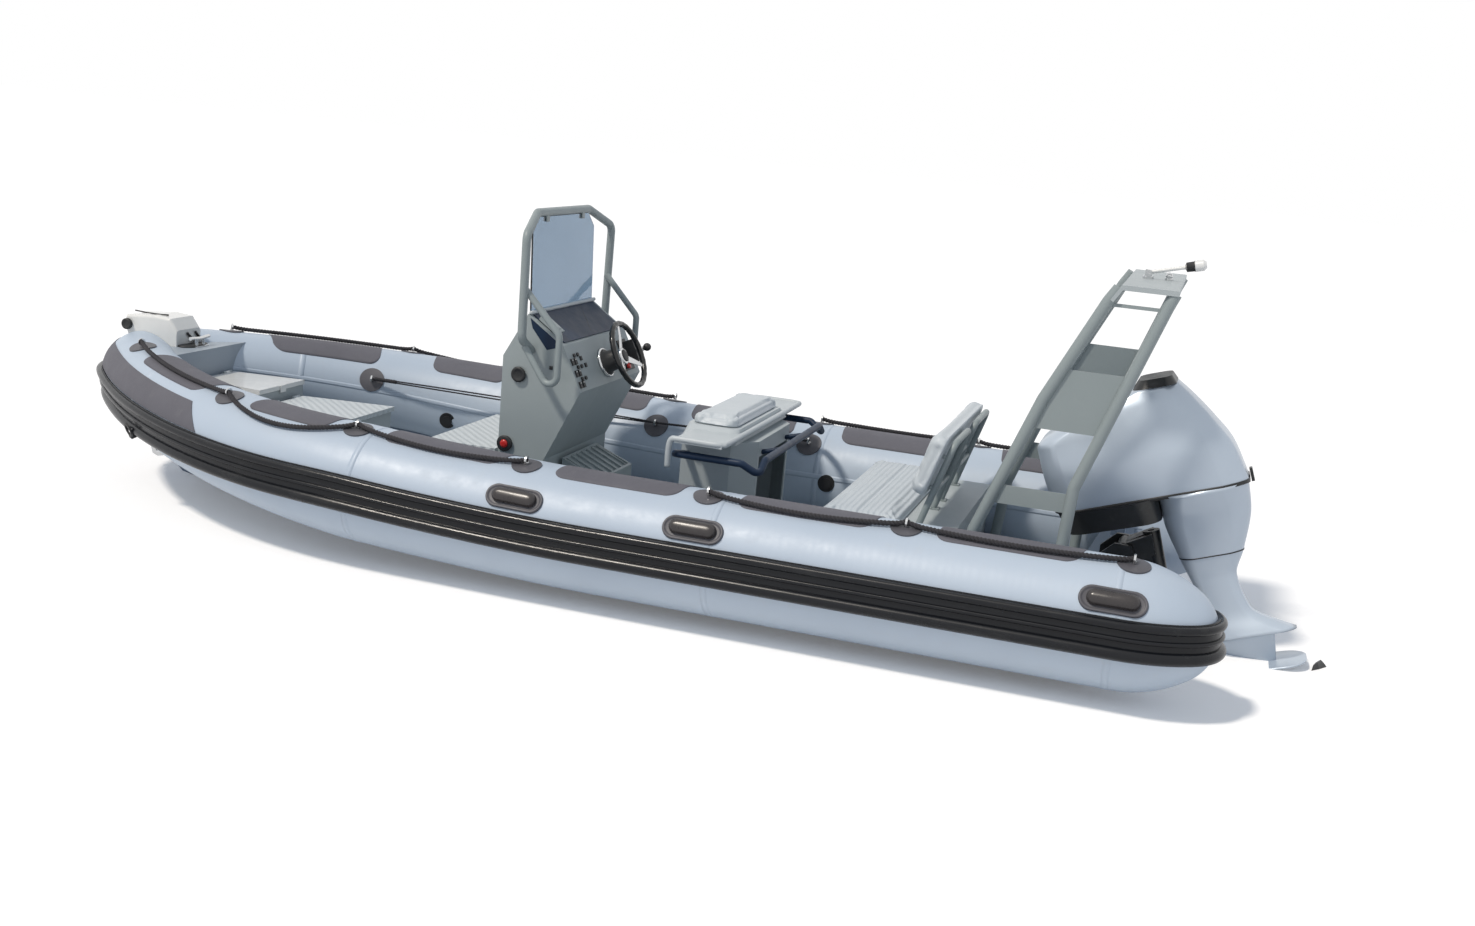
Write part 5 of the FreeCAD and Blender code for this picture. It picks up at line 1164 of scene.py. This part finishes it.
# Throttle lever, on its plate on the switch face

LEVER = [(0, 0.024), (0.006, 0.023), (0.010, 0.014), (0.046, 0.0105)]
lever_base = on_switches(0.4, THROTTLE_Y) + FACE_OUT * 0.0583 + FACE_UP * 0.010
piece("throttle_lever", *turned(lever_base, FACE_OUT, LEVER), STEEL, slot="polished_steel")


# Helm seat: pale rim tube round the lid, with its turned-down ends

# The navy seat_rail of the part, under this tube, is painted shadow that this tube casts on the seat box
RIM_LEVEL = 0.686
port_rim = [(1.842, 0.596, 0.560), (1.842, 0.598, 0.640), (1.832, 0.600, RIM_LEVEL - 0.006),
            (1.800, 0.602, RIM_LEVEL), (1.700, 0.604, RIM_LEVEL), (1.635, 0.603, RIM_LEVEL),
            (1.606, 0.590, RIM_LEVEL), (1.600, 0.560, RIM_LEVEL), (1.599, 0.300, RIM_LEVEL)]
rim_line = port_rim + [(1.599, 0.0, RIM_LEVEL)] + [(x, -y, z) for x, y, z in reversed(port_rim)]
piece("seat_lid_rim", *bent_bar(rim_line, 0.0125), SEAT_SHELL, body="helm_seat_lid_body",
      slot="seat_moulding")


# Bow: pad under the cleat, straps behind the anchor box, its grip line and cheek rollers

CHEEK = [(-0.004, 0.026), (0.006, 0.028), (0.016, 0.027), (0.018, 0.021), (0.013, 0.016), (0.013, 0.004)]


def cleat_pad():
    """An oval rubber pad on the bow deck."""
    rows = []
    for height, share in ((0.6506, 1.0), (0.656, 0.99), (0.659, 0.93), (0.659, 0.3)):
        rows.append([Vector((4.585 + 0.055 * share * math.cos(a), 0.095 * share * math.sin(a), height))
                     for a in full_turn(48)])
    return closed(rows)


def anchor_strap(top_y, foot_y):
    """A short line down the anchor box's aft face."""
    middle_y = (top_y + foot_y) / 2
    return bent_bar([(4.6045, top_y, 0.712), (4.603, middle_y, 0.690), (4.600, foot_y, 0.667)], 0.006, 10)


piece("cleat_pad", *cleat_pad(), PLASTIC, slot="black_plastic")
piece("anchor_straps", *several([anchor_strap(0.017, -0.032), anchor_strap(-0.047, -0.092)]), ROPE,
      slot="handle_rubber")
lid_line = bent_bar([(4.895, 0.036, 0.7925), (4.820, 0.052, 0.7925), (4.740, 0.052, 0.7925),
                     (4.700, 0.036, 0.7925)], 0.0035, 8)
cheeks = [turned((4.892, side * 0.0965, 0.732), (0, side, 0), CHEEK) for side in (1, -1)]
piece("anchor_box_fittings", *several([lid_line] + cheeks), PLASTIC, slot="black_plastic")


# Light: black collar under the globe

POLE_LEAN = math.radians(14)
pole_foot = Vector((0.045, 0, 1.5403))
pole_along = Vector((-math.cos(POLE_LEAN), 0, math.sin(POLE_LEAN)))
COLLAR = [(0, 0.010), (0.004, 0.0195), (0.034, 0.0205), (0.038, 0.0235)]
piece("light_collar", *turned(pole_foot + pole_along * 0.146, pole_along, COLLAR), PLASTIC,
      body="anchor_light", slot="black_plastic")


# Floor, daylight and backdrop

def pale_floor():
    # Plain matt studio floor that keeps the boat's shadow
    material = bpy.data.materials.new("pale_floor")
    material.use_nodes = True
    tree = material.node_tree
    shader = tree.nodes["Principled BSDF"]
    shader.inputs["Base Color"].default_value = linear("#FBFBFB")
    shader.inputs["Roughness"].default_value = 0.9
    shader.inputs["Specular IOR Level"].default_value = 0.0
    # Seen directly it glows a little, so that it meets the backdrop without a line
    ray = add(tree, "ShaderNodeLightPath")
    shader.inputs["Emission Color"].default_value = (1, 1, 1, 1)
    glow = add(tree, "ShaderNodeMath", {0: ray.outputs["Is Camera Ray"], 1: 0.14}, operation="MULTIPLY")
    tree.links.new(glow.outputs[0], shader.inputs["Emission Strength"])
    return material


def lay_floor(reach=60):
    """A flat floor at the waterline, so far each way."""
    mesh = bpy.data.meshes.new("floor")
    mesh.from_pydata([(-reach, -reach, 0), (reach, -reach, 0), (reach, reach, 0), (-reach, reach, 0)], [],
                     [(0, 1, 2, 3)])
    mesh.materials.append(pale_floor())
    floor = bpy.data.objects.new("floor", mesh)
    bpy.context.scene.collection.objects.link(floor)


def hang_sky():
    """Pale blue daylight on the boat, and plain white wherever the camera, metal or glass sees the sky."""
    world = bpy.data.worlds.new("studio")
    world.use_nodes = True
    tree = world.node_tree
    tree.nodes.clear()
    ray = add(tree, "ShaderNodeLightPath")
    seen = add(tree, "ShaderNodeMath", {0: ray.outputs["Is Camera Ray"], 1: ray.outputs["Is Glossy Ray"]},
               operation="MAXIMUM")
    seen = add(tree, "ShaderNodeMath", {0: seen.outputs[0], 1: ray.outputs["Is Transmission Ray"]},
               operation="MAXIMUM")
    white = add(tree, "ShaderNodeBackground", {"Color": (1, 1, 1, 1), "Strength": 1.0})
    sky = add(tree, "ShaderNodeBackground", {"Color": linear("#DCE6F5"), "Strength": 0.52})
    both = add(tree, "ShaderNodeMixShader", {0: seen.outputs[0], 1: sky.outputs[0], 2: white.outputs[0]})
    add(tree, "ShaderNodeOutputWorld", {"Surface": both.outputs[0]})
    bpy.context.scene.world = world


def light_sun():
    """A soft high sun from the port bow."""
    sun = bpy.data.lights.new("key", "SUN")
    sun.energy = 2.3
    sun.angle = math.radians(6)
    sun.color = linear("#FFF6EA")[:3]
    lamp = bpy.data.objects.new("key", sun)
    bpy.context.scene.collection.objects.link(lamp)
    lamp.rotation_euler = Vector((-0.35, -0.45, -0.82)).to_track_quat("-Z", "Y").to_euler()


lay_floor()
hang_sky()
light_sun()
bpy.context.scene.view_settings.view_transform = "Standard"
